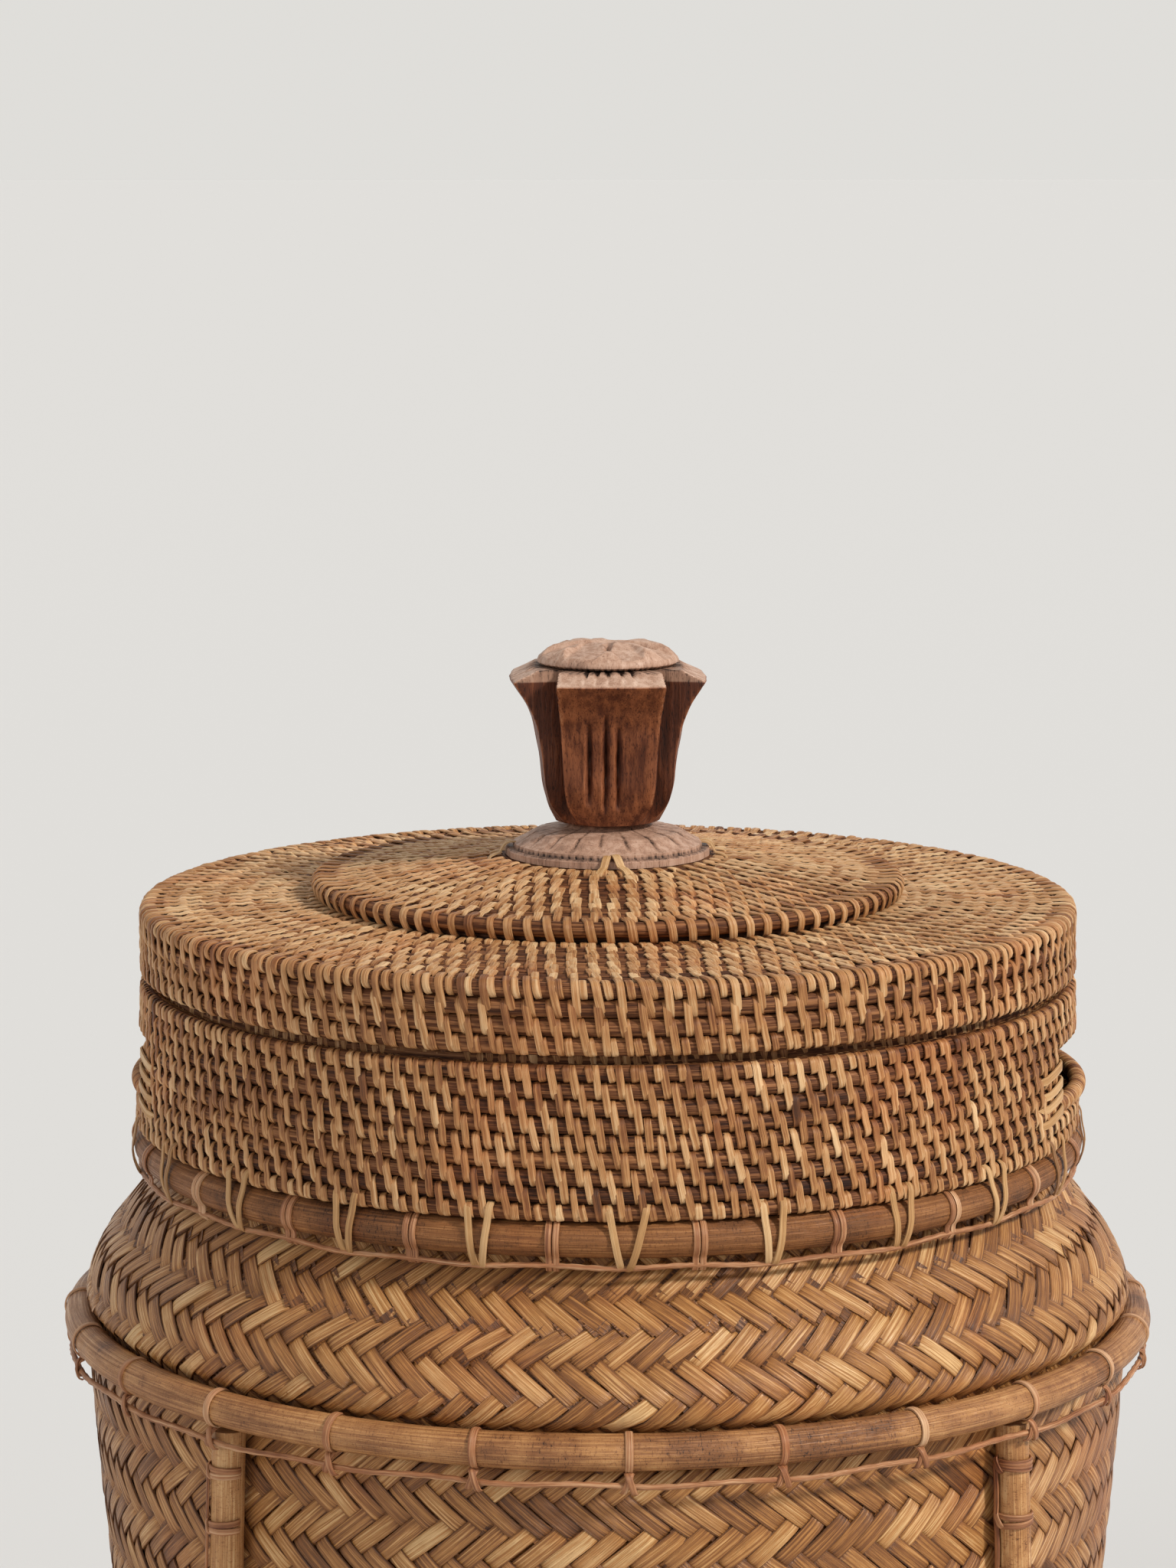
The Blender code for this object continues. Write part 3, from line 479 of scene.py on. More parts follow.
def grid_uv(run, girth):
    """UV of a grid, from its lengths one way and the other."""
    return np.stack(np.broadcast_arrays(run, girth), axis=-1)


def strands(surface, turn, along, lift, half_width, thick, section=STRIP, tone=0.5, closed=False):
    """Carry a section along paths drawn on a surface; the paths are (strand, station).

    The section's width lies in the surface, square to the path: for a path with a step of
    (round, along) it points along (along, -round), at the true lengths of that place.
    """
    turn, along = np.broadcast_arrays(np.asarray(turn, float), np.asarray(along, float))
    lift = np.broadcast_to(lift, turn.shape)
    half_width = np.broadcast_to(half_width, turn.shape)
    thick = np.broadcast_to(thick, turn.shape)
    local = surface.reach(turn, along)
    step_round = np.gradient(turn, axis=1) * local
    step_along = np.gradient(along, axis=1)
    size = np.hypot(step_round, step_along)
    across_turn = step_along / size * half_width / local
    across_along = -step_round / size * half_width
    points = surface.place(turn[..., None] + across_turn[..., None] * section[:, 0],
                           along[..., None] + across_along[..., None] * section[:, 0],
                           lift[..., None] + thick[..., None] * section[:, 1])
    # UV in metres: length along the strand, and length round its section
    run = np.cumsum(size, axis=1)
    if closed:
        run = np.concatenate((run, run[:, -1:] + size[:, -1:]), axis=1)
        half_width = np.concatenate((half_width, half_width[:, :1]), axis=1)
    uv = grid_uv(run[..., None], lengths_round(section) * half_width[..., None])
    uv = uv + CHANCE.random((turn.shape[0], 1, 1, 2))
    tone = np.asarray(tone, float)
    if tone.ndim < 2:
        tone = tone * np.ones(turn.shape[0])
    return points, uv, tone, closed


def ring_tube(reach, turn, height, length, girth, tone):
    """One closed tube round the axis: reach and height are (station, ring), turn is a column."""
    uv = grid_uv(np.linspace(0.0, length, len(turn) + 1)[:, None], girth)
    return round_axis(reach, turn, height)[None], uv[None], tone, True


def bump_at(x, middle, half):
    """A smooth bump: 1 at the middle, 0 beyond half on either side."""
    return np.clip(1.0 - ((x - middle) / half) ** 2, 0.0, None) ** 1.5


def drifting(count, spread, reach=5):
    """Random tones that change slowly from one neighbour to the next, plus some of their own."""
    rough = np.tile(CHANCE.normal(0.0, 1.0, count), 3)
    slow = np.convolve(rough, np.ones(reach) / math.sqrt(reach), "same")[count:2 * count]
    return spread * (0.6 * slow + 0.8 * CHANCE.normal(0.0, 1.0, count))


# %% [markdown]
# ## Coiled rattan
#
# The collar and the lid are coiled: a bundle of cane goes round and round, and split rattan
# sews each round to the one before. A stitch covers two rounds, and the stitches of the next
# round start right beside its lower half, which gives the stepped pattern. The bundles come
# first, as flattened rings, then the stitches, which dive into the groove at each end and swell
# over two crests.

# %% Coils and stitches
SPAN = np.array((0.0, 0.07, 0.20, 0.36, 0.50, 0.64, 0.80, 0.93, 1.0))


def coils(surface, edges, stations=220, sides=10, half_thick=COIL_HALF, gaps=None):
    """Flattened rings between neighbouring edges; gaps(row) lists the arcs (from, to) kept."""
    blocks = []
    for row in range(len(edges) - 1):
        middle, half = (edges[row] + edges[row + 1]) / 2.0, abs(edges[row + 1] - edges[row]) / 2.0
        arcs = gaps(row) if gaps else None
        for start, end in arcs or ((0.0, FULL_TURN),):
            closed = not arcs
            count = int(stations * (end - start) / FULL_TURN)
            turn = np.linspace(start, end, count, endpoint=not closed)[None]
            wobble = 0.00012 * np.sin(turn * 9.0 + row * 2.1) + 0.0001 * np.sin(turn * 23.0 + row)
            blocks.append(strands(surface, turn, middle, wobble - half_thick, half * 0.99,
                                  half_thick, round_section(sides),
                                  0.45 + CHANCE.normal(0.0, 0.08), closed))
    return blocks


def sew(surface, turn, start, end, lean=0.0018, half=0.00118, thick=0.00052, rise=0.00002,
        depth=0.0019, dip=0.00028, section=STRIP, span=SPAN, paler=0.0):
    """Stitches from start to end along the profile, at the given turns.

    The lift is rise - depth |2t - 1|^6, less a dip at the groove half way of a long stitch.
    """
    count = len(turn)
    length = np.abs(end - start)
    reach = surface.reach(turn, (start + end) / 2.0)
    t = span[None]
    jitter = np.clip(CHANCE.normal(0.0, 1.0, (5, count)), -1.8, 1.8)
    path_along = start[:, None] + (end - start)[:, None] * t
    slant = (lean + 0.0004 * jitter[0]) * length / (2.0 * COLLAR_PITCH) / reach
    path_turn = turn[:, None] + (0.00028 * jitter[1] / reach)[:, None] + slant[:, None] * (t - 0.5)
    sink = np.abs(2.0 * t - 1.0) ** 6
    longer = (length > 1.4 * COLLAR_PITCH)[:, None]
    lift = (rise + 0.00010 * jitter[2][:, None] - depth * sink
            - dip * longer * np.exp(-((t - 0.5) / 0.13) ** 2))
    wide = half * (1.0 + 0.07 * jitter[3][:, None]) * (1.0 - 0.18 * sink)
    # Painted highlight where a stitch bends in at its lower end, and painted shade where its
    # upper end dives under
    tone = 0.55 + paler + drifting(count, 0.12)[:, None]
    tone = tone + 0.12 * bump_at(t, 0.86, 0.22) - 0.16 * bump_at(t, 0.0, 0.22)
    return strands(surface, path_turn, path_along, lift, wide, thick, section, tone)


def staggered(surface, edges, pitch=STITCH_PITCH, first=-1):
    """Two-row stitches: their turns and the edges they start and end at, as row numbers.

    A round's stitches begin right beside the last round's. Those of row -1 are half stitches,
    which hold the first round only.
    """
    rows = len(edges) - 1
    turns, starts, ends = [], [], []
    for row in range(first, rows):
        start, end = max(row, 0), min(row + 2, rows)
        reach = surface.reach(0.0, (edges[start] + edges[end]) / 2.0)
        count = int(round(FULL_TURN * reach / pitch))
        turns.append((np.arange(count) + STAGGER * row) * FULL_TURN / count)
        starts.append(np.full(count, start))
        ends.append(np.full(count, end))
    return np.concatenate(turns), np.concatenate(starts), np.concatenate(ends)


def sewn(surface, edges, pitch=STITCH_PITCH, first=-1, **style):
    """All the stitches between the edges; style goes on to sew."""
    turn, start, end = staggered(surface, edges, pitch, first)
    return sew(surface, turn, edges[start], edges[end], **style)


# %% [markdown]
# ### Collar
#
# Nine rounds, with a hand hole on the left and on the right. At a hole the bundles stop, the
# stitches above and below it hold one round only, and a wound grip closes its lower edge.

# %% Collar
COLLAR_MIDDLE_RADIUS = COLLAR_RADIUS + COLLAR_FLARE / 2.0
HOLE_TURN = math.asin(HOLE_HALF / COLLAR_MIDDLE_RADIUS)
collar = Outline(np.linspace(COLLAR_RADIUS, COLLAR_RADIUS + COLLAR_FLARE, 12),
                 np.linspace(COLLAR_TOP_Z, COLLAR_FOOT_Z, 12))
collar_edges = np.linspace(0.0, collar.along[-1], COLLAR_ROWS + 1)


def hole_arcs(row):
    """The two arcs of a round that a pair of hand holes leaves."""
    if HOLE_ROWS[0] <= row < HOLE_ROWS[1]:
        return tuple((HOLE_TWIST + half + HOLE_TURN, HOLE_TWIST + half + math.pi - HOLE_TURN)
                     for half in (0.0, math.pi))
    return None


def sewn_collar(surface, low, high, **style):
    """Stitches of the collar; beside a hole, in rows low to high, they hold one round only."""
    turn, start, end = staggered(surface, collar_edges)
    from_side = np.abs(np.sin(turn - HOLE_TWIST)) * COLLAR_MIDDLE_RADIUS
    at_hole = from_side < HOLE_HALF + 0.0012
    end = np.where(at_hole & (start < low) & (end > low), low, end)
    start = np.where(at_hole & (start < high) & (end > high), high, start)
    keep = ~(at_hole & (start >= low) & (end <= high))
    return sew(surface, turn[keep], collar_edges[start[keep]], collar_edges[end[keep]], **style)


make_piece("collar_coils", "basket", core_finish,
           coils(collar, collar_edges, gaps=hole_arcs), replaces=("neck_collar",))
make_piece("collar_stitches", "basket", stitch_finish,
           [sewn_collar(collar, *HOLE_ROWS)])
# The inner face is laid out from the foot upwards, so its rows count the other way
collar_inside = Outline(collar.radius[::-1] - 2.0 * COIL_HALF, collar.height[::-1])
INNER_SPAN = np.array((0.0, 0.12, 0.36, 0.64, 0.88, 1.0))
make_piece("collar_inner_stitches", "basket", stitch_finish,
           [sewn_collar(collar_inside, COLLAR_ROWS - HOLE_ROWS[1], COLLAR_ROWS - HOLE_ROWS[0],
                        section=PLAIN_STRIP, span=INNER_SPAN)])

# %% [markdown]
# ### Hand holes
#
# Each hole's lower edge is a bundle wound closely with split rattan, a little bowed outwards to
# meet the fingers. Its surface is a tube whose radius dips in a helix between the turns. Broad
# flat strips bind the upright edges, one to a round: each rises to the edge and turns round it.

# %% Grips and bindings


def grip_blocks(side):
    """A bowed tube; its radius is R (1 - 0.26 (1 - |sin|^0.7)) of a helix's phase."""
    stations, ring, turns = 420, 18, 38
    middle_radius, bow, end_gap = 0.1491, 0.0024, 0.0013
    share = np.linspace(-1.0, 1.0, stations)
    turn = share * (HOLE_HALF - end_gap) / 0.1485 + HOLE_TWIST + (0.0 if side > 0 else math.pi)
    angle = spaced(ring)
    phase = share[:, None] * turns * math.pi / 2.0 + angle * 0.5
    body = GRIP_RADIUS * (1.0 - 0.26 * (1.0 - np.abs(np.sin(phase)) ** 0.7))
    reach = (middle_radius + bow * np.cos(share * math.pi / 2.0))[:, None] + body * np.cos(angle)
    points = round_axis(reach, turn[:, None], GRIP_Z + body * np.sin(angle))[None]
    # Fibres run along the winding, so the UV's first length follows the ring
    uv = grid_uv(round_girth(ring, GRIP_RADIUS),
                 np.linspace(0.0, 2.0 * HOLE_HALF, stations)[:, None])[None]
    number = np.floor(phase[:, 0] / math.pi).astype(int) + turns
    # Painted shade: the tone is darker in the grooves between the turns
    in_groove = np.abs(np.sin(phase[:, 0])) < 0.35
    tone = (0.56 + drifting(2 * turns, 0.13))[number] - 0.22 * in_groove
    return points, uv, tone[None], False


def binding_blocks(side, end):
    """Strips round one upright edge: along the outer face, round the edge, along the inner face.

    Points are (out from the axis, y from the hole's middle line), so x = sqrt(out^2 - y^2).
    """
    count = 4
    level = GRIP_Z - 0.0002 + 0.0047 * np.arange(count)[:, None]
    level = level + CHANCE.normal(0.0, 0.0003, (count, 1))
    reach = np.array((0.0160, 0.0120, 0.0080, 0.0040, 0.0010, -0.0004, -0.0008, -0.0008, -0.0004,
                      0.0010, 0.0050, 0.0100))
    depth = np.array((-0.0014, 0.0006, 0.0009, 0.0010, 0.0009, 0.0002, -0.0012, -0.0036, -0.0049,
                      -0.0054, -0.0054, -0.0042))
    past_edge = np.clip(reach, 0.0, None)
    fall = np.where(np.arange(len(reach)) < 6, 0.22, 0.10) * past_edge
    y = HOLE_HALF + reach[None] * (1.0 + CHANCE.normal(0.0, 0.07, (count, 1)))
    out = depth + np.interp(level, (COLLAR_FOOT_Z, COLLAR_TOP_Z),
                            (COLLAR_RADIUS + COLLAR_FLARE, COLLAR_RADIUS))
    path = np.stack((np.sqrt(out ** 2 - y ** 2), y * end, level - fall), axis=-1)
    up = np.array((0.0, 0.0, 1.0))
    away = np.cross(np.gradient(path, axis=1), up)
    away /= np.linalg.norm(away, axis=-1, keepdims=True)
    # Away from a point inside the wall, beside the edge
    flat = path[..., :2] - (0.1396, (HOLE_HALF + 0.006) * end)
    away *= np.sign((away[..., :2] * flat).sum(axis=-1, keepdims=True))
    half = 0.00145 * (1.0 - 0.25 * (past_edge / 0.016) ** 2)
    points = (path[:, :, None] + up * (FLAT_STRIP[:, 0] * half[:, None])[..., None]
              + away[:, :, None] * (FLAT_STRIP[:, 1] * 0.0006)[:, None])
    half_turn = 0.0 if side > 0 else math.pi
    points = points @ np.array(Matrix.Rotation(HOLE_TWIST + half_turn, 3, "Z")).T
    run = np.concatenate(([0.0], np.cumsum(np.hypot(np.diff(reach), np.diff(depth)))))
    uv = grid_uv(run[:, None], np.arange(len(FLAT_STRIP) + 1) * 0.0006)
    uv = uv + CHANCE.random((count, 1, 1, 2))
    return points, uv, 0.62 + drifting(count, 0.10), False


for side, name in ((1, "right"), (-1, "left")):
    make_piece(f"grip_winding_{name}", "basket", stitch_finish,
               [grip_blocks(side)], replaces=(f"grip_{name}",), sharp=80.0)
    make_piece(f"hole_binding_{name}", "basket", pale_finish,
               [binding_blocks(side, end) for end in (1, -1)],
               replaces=(f"binding_{name}_back", f"binding_{name}_front"))

# %% [markdown]
# ### Lip inside the collar
#
# The lid's skirt slides over a lip that stands inside the collar. It is coiled and sewn like
# the rest, in thinner cane.

# %% Lip
LIP_TOP_Z = RIM_Z - RIM_CANE - CLEARANCE
LIP_FOOT_Z = 0.30093
LIP_THICKNESS = 0.0023
lip_out = Outline((0.1437, 0.1446, 0.1446), (LIP_TOP_Z, COLLAR_TOP_Z - COLLAR_PITCH, LIP_FOOT_Z))
lip_in = Outline(lip_out.radius[::-1] - LIP_THICKNESS, lip_out.height[::-1])
lip_edges = np.linspace(0.0, lip_out.along[-1], 7)
lip_blocks = coils(lip_out, lip_edges, stations=180, sides=8, half_thick=0.00105)
make_piece("lip_coils", "basket", core_finish, lip_blocks, replaces=("neck_lip",))
lip_style = {"thick": 0.00035, "rise": -0.0002, "depth": 0.0009, "section": PLAIN_STRIP,
             "span": INNER_SPAN}
make_piece("lip_stitches", "basket", stitch_finish,
           [sewn(surface, lip_edges, **lip_style) for surface in (lip_in, lip_out)])

# %% [markdown]
# ## Lid
#
# One profile runs from the foot of the crown out over the brim, round the rim cane and down the
# skirt, so a stitch can cross the lid's edge without a break.

# %% Brim, rim and skirt
BRIM_EDGE = 0.1444
round_rim = np.linspace(math.pi / 2.0, 0.0, 9)
rim_r = LID_RADIUS - RIM_CANE + RIM_CANE * np.cos(round_rim)
rim_z = RIM_Z + RIM_CANE * np.sin(round_rim)
skirt_z = np.linspace(RIM_Z - RIM_CANE, SKIRT_FOOT_Z, 7)
brim_z = np.linspace(BRIM_TOP_Z + 0.0021, BRIM_TOP_Z + 0.0007, 11)
lid_top = Outline(np.concatenate((np.linspace(BRIM_INSIDE, BRIM_EDGE, 11), rim_r,
                                  np.full(7, LID_RADIUS))),
                  np.concatenate((brim_z, rim_z, skirt_z)))
# Points 10 and 19 of the profile are the brim's last and the rim's last
at_brim_edge, at_rim_foot = lid_top.along[10], lid_top.along[19] + RIM_CANE
brim_edges = np.linspace(at_brim_edge, 0.0, 11)
skirt_edges = np.linspace(at_rim_foot, lid_top.along[-1], 4)

make_piece("brim_coils", "lid", core_finish,
           coils(lid_top, brim_edges, stations=200, sides=8), replaces=("lid_brim",))
make_piece("brim_stitches", "lid", stitch_finish,
           [sewn(lid_top, brim_edges, pitch=0.0060, first=0, lean=-0.0014, half=0.00122,
                 paler=0.16)])
make_piece("skirt_coils", "lid", core_finish,
           coils(lid_top, skirt_edges), replaces=("lid_skirt",))
make_piece("skirt_stitches", "lid", stitch_finish,
           [sewn(lid_top, skirt_edges, first=0)])

# %% [markdown]
# The rim cane is bound twice at each place: a long stitch from the brim over the cane to the
# first round of the skirt, and beside it a short one that ends under the cane.

# %% Rim cane and its stitches


def leaf_ring(gap, rise):
    """How a cane swells at this distance from a joint: a ridge with a dip beside it."""
    return rise * np.exp(-(gap / 0.0014) ** 2) - 0.0002 * np.exp(-((gap - 0.003) / 0.002) ** 2)


def cane_ring(radius, height, cane, stations=300, sides=14, tone=0.5, seed=0.0, joints=()):
    """A torus whose thickness drifts a little, with a raised ring at each of its joints."""
    turn = spaced(stations)[:, None]
    drift = 0.018 * np.sin(5.0 * turn + seed) + 0.012 * np.sin(13.0 * turn + 2.0 * seed)
    thick = cane * (1.0 + drift)
    for joint in joints:
        gap = np.abs(np.angle(np.exp(1j * (turn - joint)))) * radius
        thick = thick + leaf_ring(gap, rise=0.00035)
    thick = np.minimum(thick, cane * 1.04)
    angle = spaced(sides)
    return ring_tube(radius + thick * np.cos(angle), turn, height + thick * np.sin(angle),
                     FULL_TURN * radius, round_girth(sides, cane), tone)


make_piece("rim_cane", "lid", core_finish,
           [cane_ring(LID_RADIUS - RIM_CANE, RIM_Z, RIM_CANE * 0.97, sides=10)],
           replaces=("lid_rim_cane",))
RIM_STITCHES = 139
OVER_RIM = np.array((0.0, 0.06, 0.16, 0.28, 0.38, 0.46, 0.54, 0.62, 0.70, 0.80, 0.90, 0.97, 1.0))


def over_cane(surface, count, start, end, shift=0.0, **style):
    """Stitches over a rim cane, all from one length of the profile to another."""
    return sew(surface, spaced(count) + shift, np.full(count, start), np.full(count, end),
               dip=0.0, rise=0.00008, span=OVER_RIM, **style)


make_piece("rim_stitches", "lid", stitch_finish,
           [over_cane(lid_top, RIM_STITCHES, brim_edges[1], skirt_edges[1], half=0.00125,
                      paler=0.05),
            over_cane(lid_top, RIM_STITCHES, at_brim_edge - 0.0006, at_rim_foot,
                      shift=0.0026 / LID_RADIUS, half=0.00115, paler=0.05)])

# %% [markdown]
# The crown is a low cone of rounds that ends in a rim cane of its own. Its stitches come over
# that cane and hang two millimetres below it, over a dark recess.

# %% Crown
around = np.linspace(math.pi / 2.0 - 0.15, -0.25, 9)
crown_r = np.concatenate(((0.0300, KNOB_SEAT_RADIUS), np.linspace(0.0400, 0.0892, 9),
                          CROWN_RADIUS - CROWN_CANE + CROWN_CANE * np.cos(around),
                          (0.0944, 0.0936)))
crown_z = np.concatenate(((KNOB_SEAT_Z, KNOB_SEAT_Z),
                          np.linspace(KNOB_SEAT_Z - 0.0006, CROWN_Z + 0.0022, 9),
                          CROWN_Z + CROWN_CANE * np.sin(around),
                          (CROWN_Z - 0.0030, CROWN_Z - 0.0046)))
crown = Outline(crown_r, crown_z)
at_seat, at_crown_edge = crown.along[1], crown.along[10]
crown_edges = np.linspace(at_crown_edge, at_seat - 0.0012, 12)
make_piece("crown_coils", "lid", core_finish,
           coils(crown, crown_edges, stations=180, sides=8), replaces=("lid_crown",))
make_piece("crown_stitches", "lid", stitch_finish,
           [sewn(crown, crown_edges, pitch=0.0058, first=0, lean=-0.0012, half=0.00124,
                 paler=0.14)])
crown_ring = cane_ring(CROWN_RADIUS - CROWN_CANE, CROWN_Z, CROWN_CANE * 0.97, stations=240,
                       sides=10)
make_piece("crown_cane", "lid", core_finish, [crown_ring],
           replaces=("lid_crown_cane",))
CROWN_STITCHES = 94
make_piece("crown_rim_stitches", "lid", stitch_finish,
           [over_cane(crown, CROWN_STITCHES, crown_edges[1], crown.along[-1], half=0.00130,
                      depth=0.0012)])

# %% [markdown]
# The lid's underside shows when it is lifted: the same rounds from below, with plainer stitches.

# %% Under the lid
SEAT_FOOT_Z = KNOB_SEAT_Z - 0.0044
under_brim = Outline(np.linspace(BRIM_EDGE, UNDER_BRIM_INSIDE, 11),
                     np.linspace(RIM_Z - RIM_CANE, RIM_Z - 0.0011, 11))
under_crown = Outline(np.append(np.linspace(UNDER_BRIM_INSIDE, 0.0300, 12),
                                np.linspace(0.0250, 0.0040, 5)),
                      np.append(np.linspace(CROWN_Z - 0.0026, SEAT_FOOT_Z, 12),
                                np.full(5, SEAT_FOOT_Z)))
skirt_inside = Outline(np.full(4, LID_RADIUS - 2 * COIL_HALF),
                       np.linspace(SKIRT_FOOT_Z, SKIRT_TOP_Z, 4))
blocks = []
for surface, rounds in ((under_brim, 10), (under_crown, 15), (skirt_inside, 3)):
    edges = np.linspace(0.0, surface.along[-1], rounds + 1)
    blocks.append(sewn(surface, edges, pitch=0.0072, section=PLAIN_STRIP, span=INNER_SPAN,
                       rise=-0.0003))
make_piece("lid_under_stitches", "lid", stitch_finish, blocks)


def turned(name, body, finish, profile, replaces=(), tone=0.4, stations=200):
    """A closed (radius, height) profile turned about Z."""
    profile = np.asarray(profile, float)
    block = ring_tube(profile[:, 0], spaced(stations)[:, None], profile[:, 1],
                      FULL_TURN * profile[:, 0].mean(), lengths_round(profile), tone)
    return make_piece(name, body, finish, [block], replaces=replaces, sharp=35.0)


def crown_seat(stations=96, rings=40):
    """The rounds under the knob: a disc whose underside has a groove 0.5 mm deep every 5.3 mm."""
    radius = np.linspace(0.0002, 0.0350, rings)
    ripple = 0.0005 * np.abs(np.sin(math.pi * radius / 0.0053)) - 0.0005
    radius = np.concatenate((radius, radius[::-1]))[:, None]
    height = np.concatenate((SEAT_FOOT_Z - ripple, np.full(rings, KNOB_SEAT_Z)))[:, None]
    uv = grid_uv(round_girth(stations, 0.02), np.arange(2 * rings)[:, None] * 0.0009)
    return round_axis(radius, spaced(stations), height)[None], uv[None], 0.40, False


make_piece("crown_seat", "lid", core_finish, [crown_seat()])
riser_out, riser_top = BRIM_INSIDE - 0.0004, CROWN_Z - 0.0024
# The riser under the crown cane is coloured very dark, as painted shade in the recess there
turned("crown_riser", "lid", core_finish,
       ((riser_out, BRIM_TOP_Z - 0.0010), (riser_out, riser_top), (UNDER_BRIM_INSIDE, riser_top),
        (UNDER_BRIM_INSIDE, RIM_Z - 0.0011)), tone=0.15)

# %% [markdown]
# ## The woven body
#
# Strips go round the body on two slants. In a twill each strip passes over three and under
# three, and here the slant on top changes every three strips, which makes herringbone rows. What
# shows of a strip is a float: three strip widths long, one wide, its ends tucked under the
# neighbours that cross it. So the body is one formula for a float, repeated on a lattice.
#
# Strips of width w that slant by an angle s stand w / sin(s) apart in a row, and a row is
# 3 w / (2 cos(s)) tall. Here s is about 41 degrees, and each row is shifted by half a place.

# %% The body's outline
BAND_HALF = MIDDLE_CANE * 0.64
SHOULDER_RADIUS = MIDDLE_RADIUS + 0.0043
SIDE_TOP = MIDDLE_RADIUS + 0.0037
SIDE_FOOT = 0.1460
POST_SPREAD = (0.1742, 0.1670)
POST_INSET = POST_RADIUS * math.cos(math.pi / 8.0) + CLEARANCE


def body_levels(height):
    """Radius at a side, and what a corner adds to it, for heights from the neck to the foot."""
    share = np.clip((SHOULDER_TOP_Z - height) / (SHOULDER_TOP_Z - SHOULDER_FOOT_Z), 0.0, 1.0)
    swell = np.sin(share * math.pi / 2.0) ** 1.3
    shoulder = NECK_RADIUS + (SHOULDER_RADIUS - NECK_RADIUS) * swell
    down = np.clip((BODY_TOP_Z - height) / (BODY_TOP_Z - WALL_FOOT), 0.0, 1.0)
    side = SIDE_TOP - (SIDE_TOP - SIDE_FOOT) * down ** 1.35
    post_share = (height - POST_FOOT_Z) / (POST_TOP_Z - POST_FOOT_Z)
    post = POST_SPREAD[0] + (POST_SPREAD[1] - POST_SPREAD[0]) * post_share
    corner = post - POST_INSET - side
    keys = (BODY_TOP_Z, MIDDLE_Z - BAND_HALF, MIDDLE_Z + BAND_HALF, SHOULDER_FOOT_Z)
    band = np.interp(height, keys, (SIDE_TOP, MIDDLE_RADIUS, MIDDLE_RADIUS, SHOULDER_RADIUS))
    at_top = POST_SPREAD[1] - POST_INSET - SIDE_TOP
    fade = np.interp(height, (BODY_TOP_Z, MIDDLE_Z - BAND_HALF), (at_top, 0.0))
    side = np.where(height >= SHOULDER_FOOT_Z, shoulder, np.where(height <= BODY_TOP_Z, side, band))
    return side, np.where(height <= BODY_TOP_Z, corner, fade)


heights = np.linspace(WALL_TOP_Z, WALL_FOOT - 0.0025, 430)
side_radius, corner_radius = body_levels(heights)
body = Outline(side_radius, heights, corner_radius)
body_inside = Outline(side_radius[::-1] - WALL_THICKNESS, heights[::-1], corner_radius[::-1])
FOOT_ALONG = float(np.interp(-WALL_FOOT, -heights, body.along))

# %% Floats
STRIPS_ROUND = 120
MEAN_RADIUS = 0.1605
APART = FULL_TURN * MEAN_RADIUS / STRIPS_ROUND
FIRST_ROW = 0.0035
ROWS = round((FOOT_ALONG - FIRST_ROW) / 0.0110)
ROW_HEIGHT = (FOOT_ALONG - FIRST_ROW + 0.0006) / ROWS
SLANT = math.atan(ROW_HEIGHT / (1.5 * APART))
STRIP_WIDTH = APART * math.sin(SLANT)
FLOAT_BASE = -0.00080
FLOAT_SPAN = np.array((-1.0, -0.90, -0.80, -0.66, -0.36, 0.0, 0.36, 0.66, 0.80, 0.90, 1.0))


def floats(surface, rows, first_along, section=FLAT_STRIP, span=FLOAT_SPAN, sink=0.00132,
           thick=0.00060, tone=0.55, ragged=1.0):
    """Floats of the given rows; even rows slant one way, odd rows the other.

    Along a float t runs -1 to 1. Its lift is FLOAT_BASE + dome (1 - t^2) - sink |t|^6.
    """
    tones = tone + np.stack([drifting(STRIPS_ROUND, 0.095, 3) for _ in range(2)])
    t = span[None]
    blocks = []
    for row in rows:
        slant = 1.0 if row % 2 == 0 else -1.0
        place = np.arange(STRIPS_ROUND)
        parity = (3 * row + 1) % 2
        middle_turn = FRONT + (place + 0.5 * parity) * (FULL_TURN / STRIPS_ROUND)
        strip = ((3 * row + 1 - parity) // 2 - slant * place).astype(int) % STRIPS_ROUND
        chance = (CHANCE.normal(0.0, 1.0, (5, STRIPS_ROUND)) * ragged)[..., None]
        half_length = ROW_HEIGHT / 2.0 / math.sin(SLANT) * (1.16 + 0.035 * chance[0])
        slope = SLANT + 0.028 * chance[1]
        # Lengths along the strip are in the flat lattice, so rows stay closed as the body narrows
        step_turn = half_length * np.cos(slope) * t * slant / MEAN_RADIUS
        turn = middle_turn[:, None] + step_turn
        along = first_along + (row + 0.5) * ROW_HEIGHT + half_length * np.sin(slope) * t
        along = along + 0.00025 * chance[2]
        dome = 0.00016 + 0.00006 * chance[3]
        lift = FLOAT_BASE + 0.00007 * chance[2] + dome * (1.0 - t ** 2) - sink * np.abs(t) ** 6
        row_along = np.full(STRIPS_ROUND, first_along + row * ROW_HEIGHT)
        spread = (surface.reach(middle_turn, row_along) / MEAN_RADIUS * 0.5 + 0.5)[:, None]
        half = STRIP_WIDTH / 2.0 * spread * (0.975 + 0.02 * chance[4])
        shade = tones[0 if slant > 0 else 1][strip] + CHANCE.normal(0.0, 0.050, STRIPS_ROUND)
        # Darker towards the tucked ends and along both edges, painted shade where the float dives
        # under its neighbours and where it meets them
        shade = shade[:, None] - 0.26 * np.abs(t) ** 4
        shade = np.maximum(shade[..., None] - 0.30 * (np.abs(section[:, 0]) > 0.9), 0.20)
        blocks.append(strands(surface, turn, along, lift, half, thick, section, shade))
    return blocks


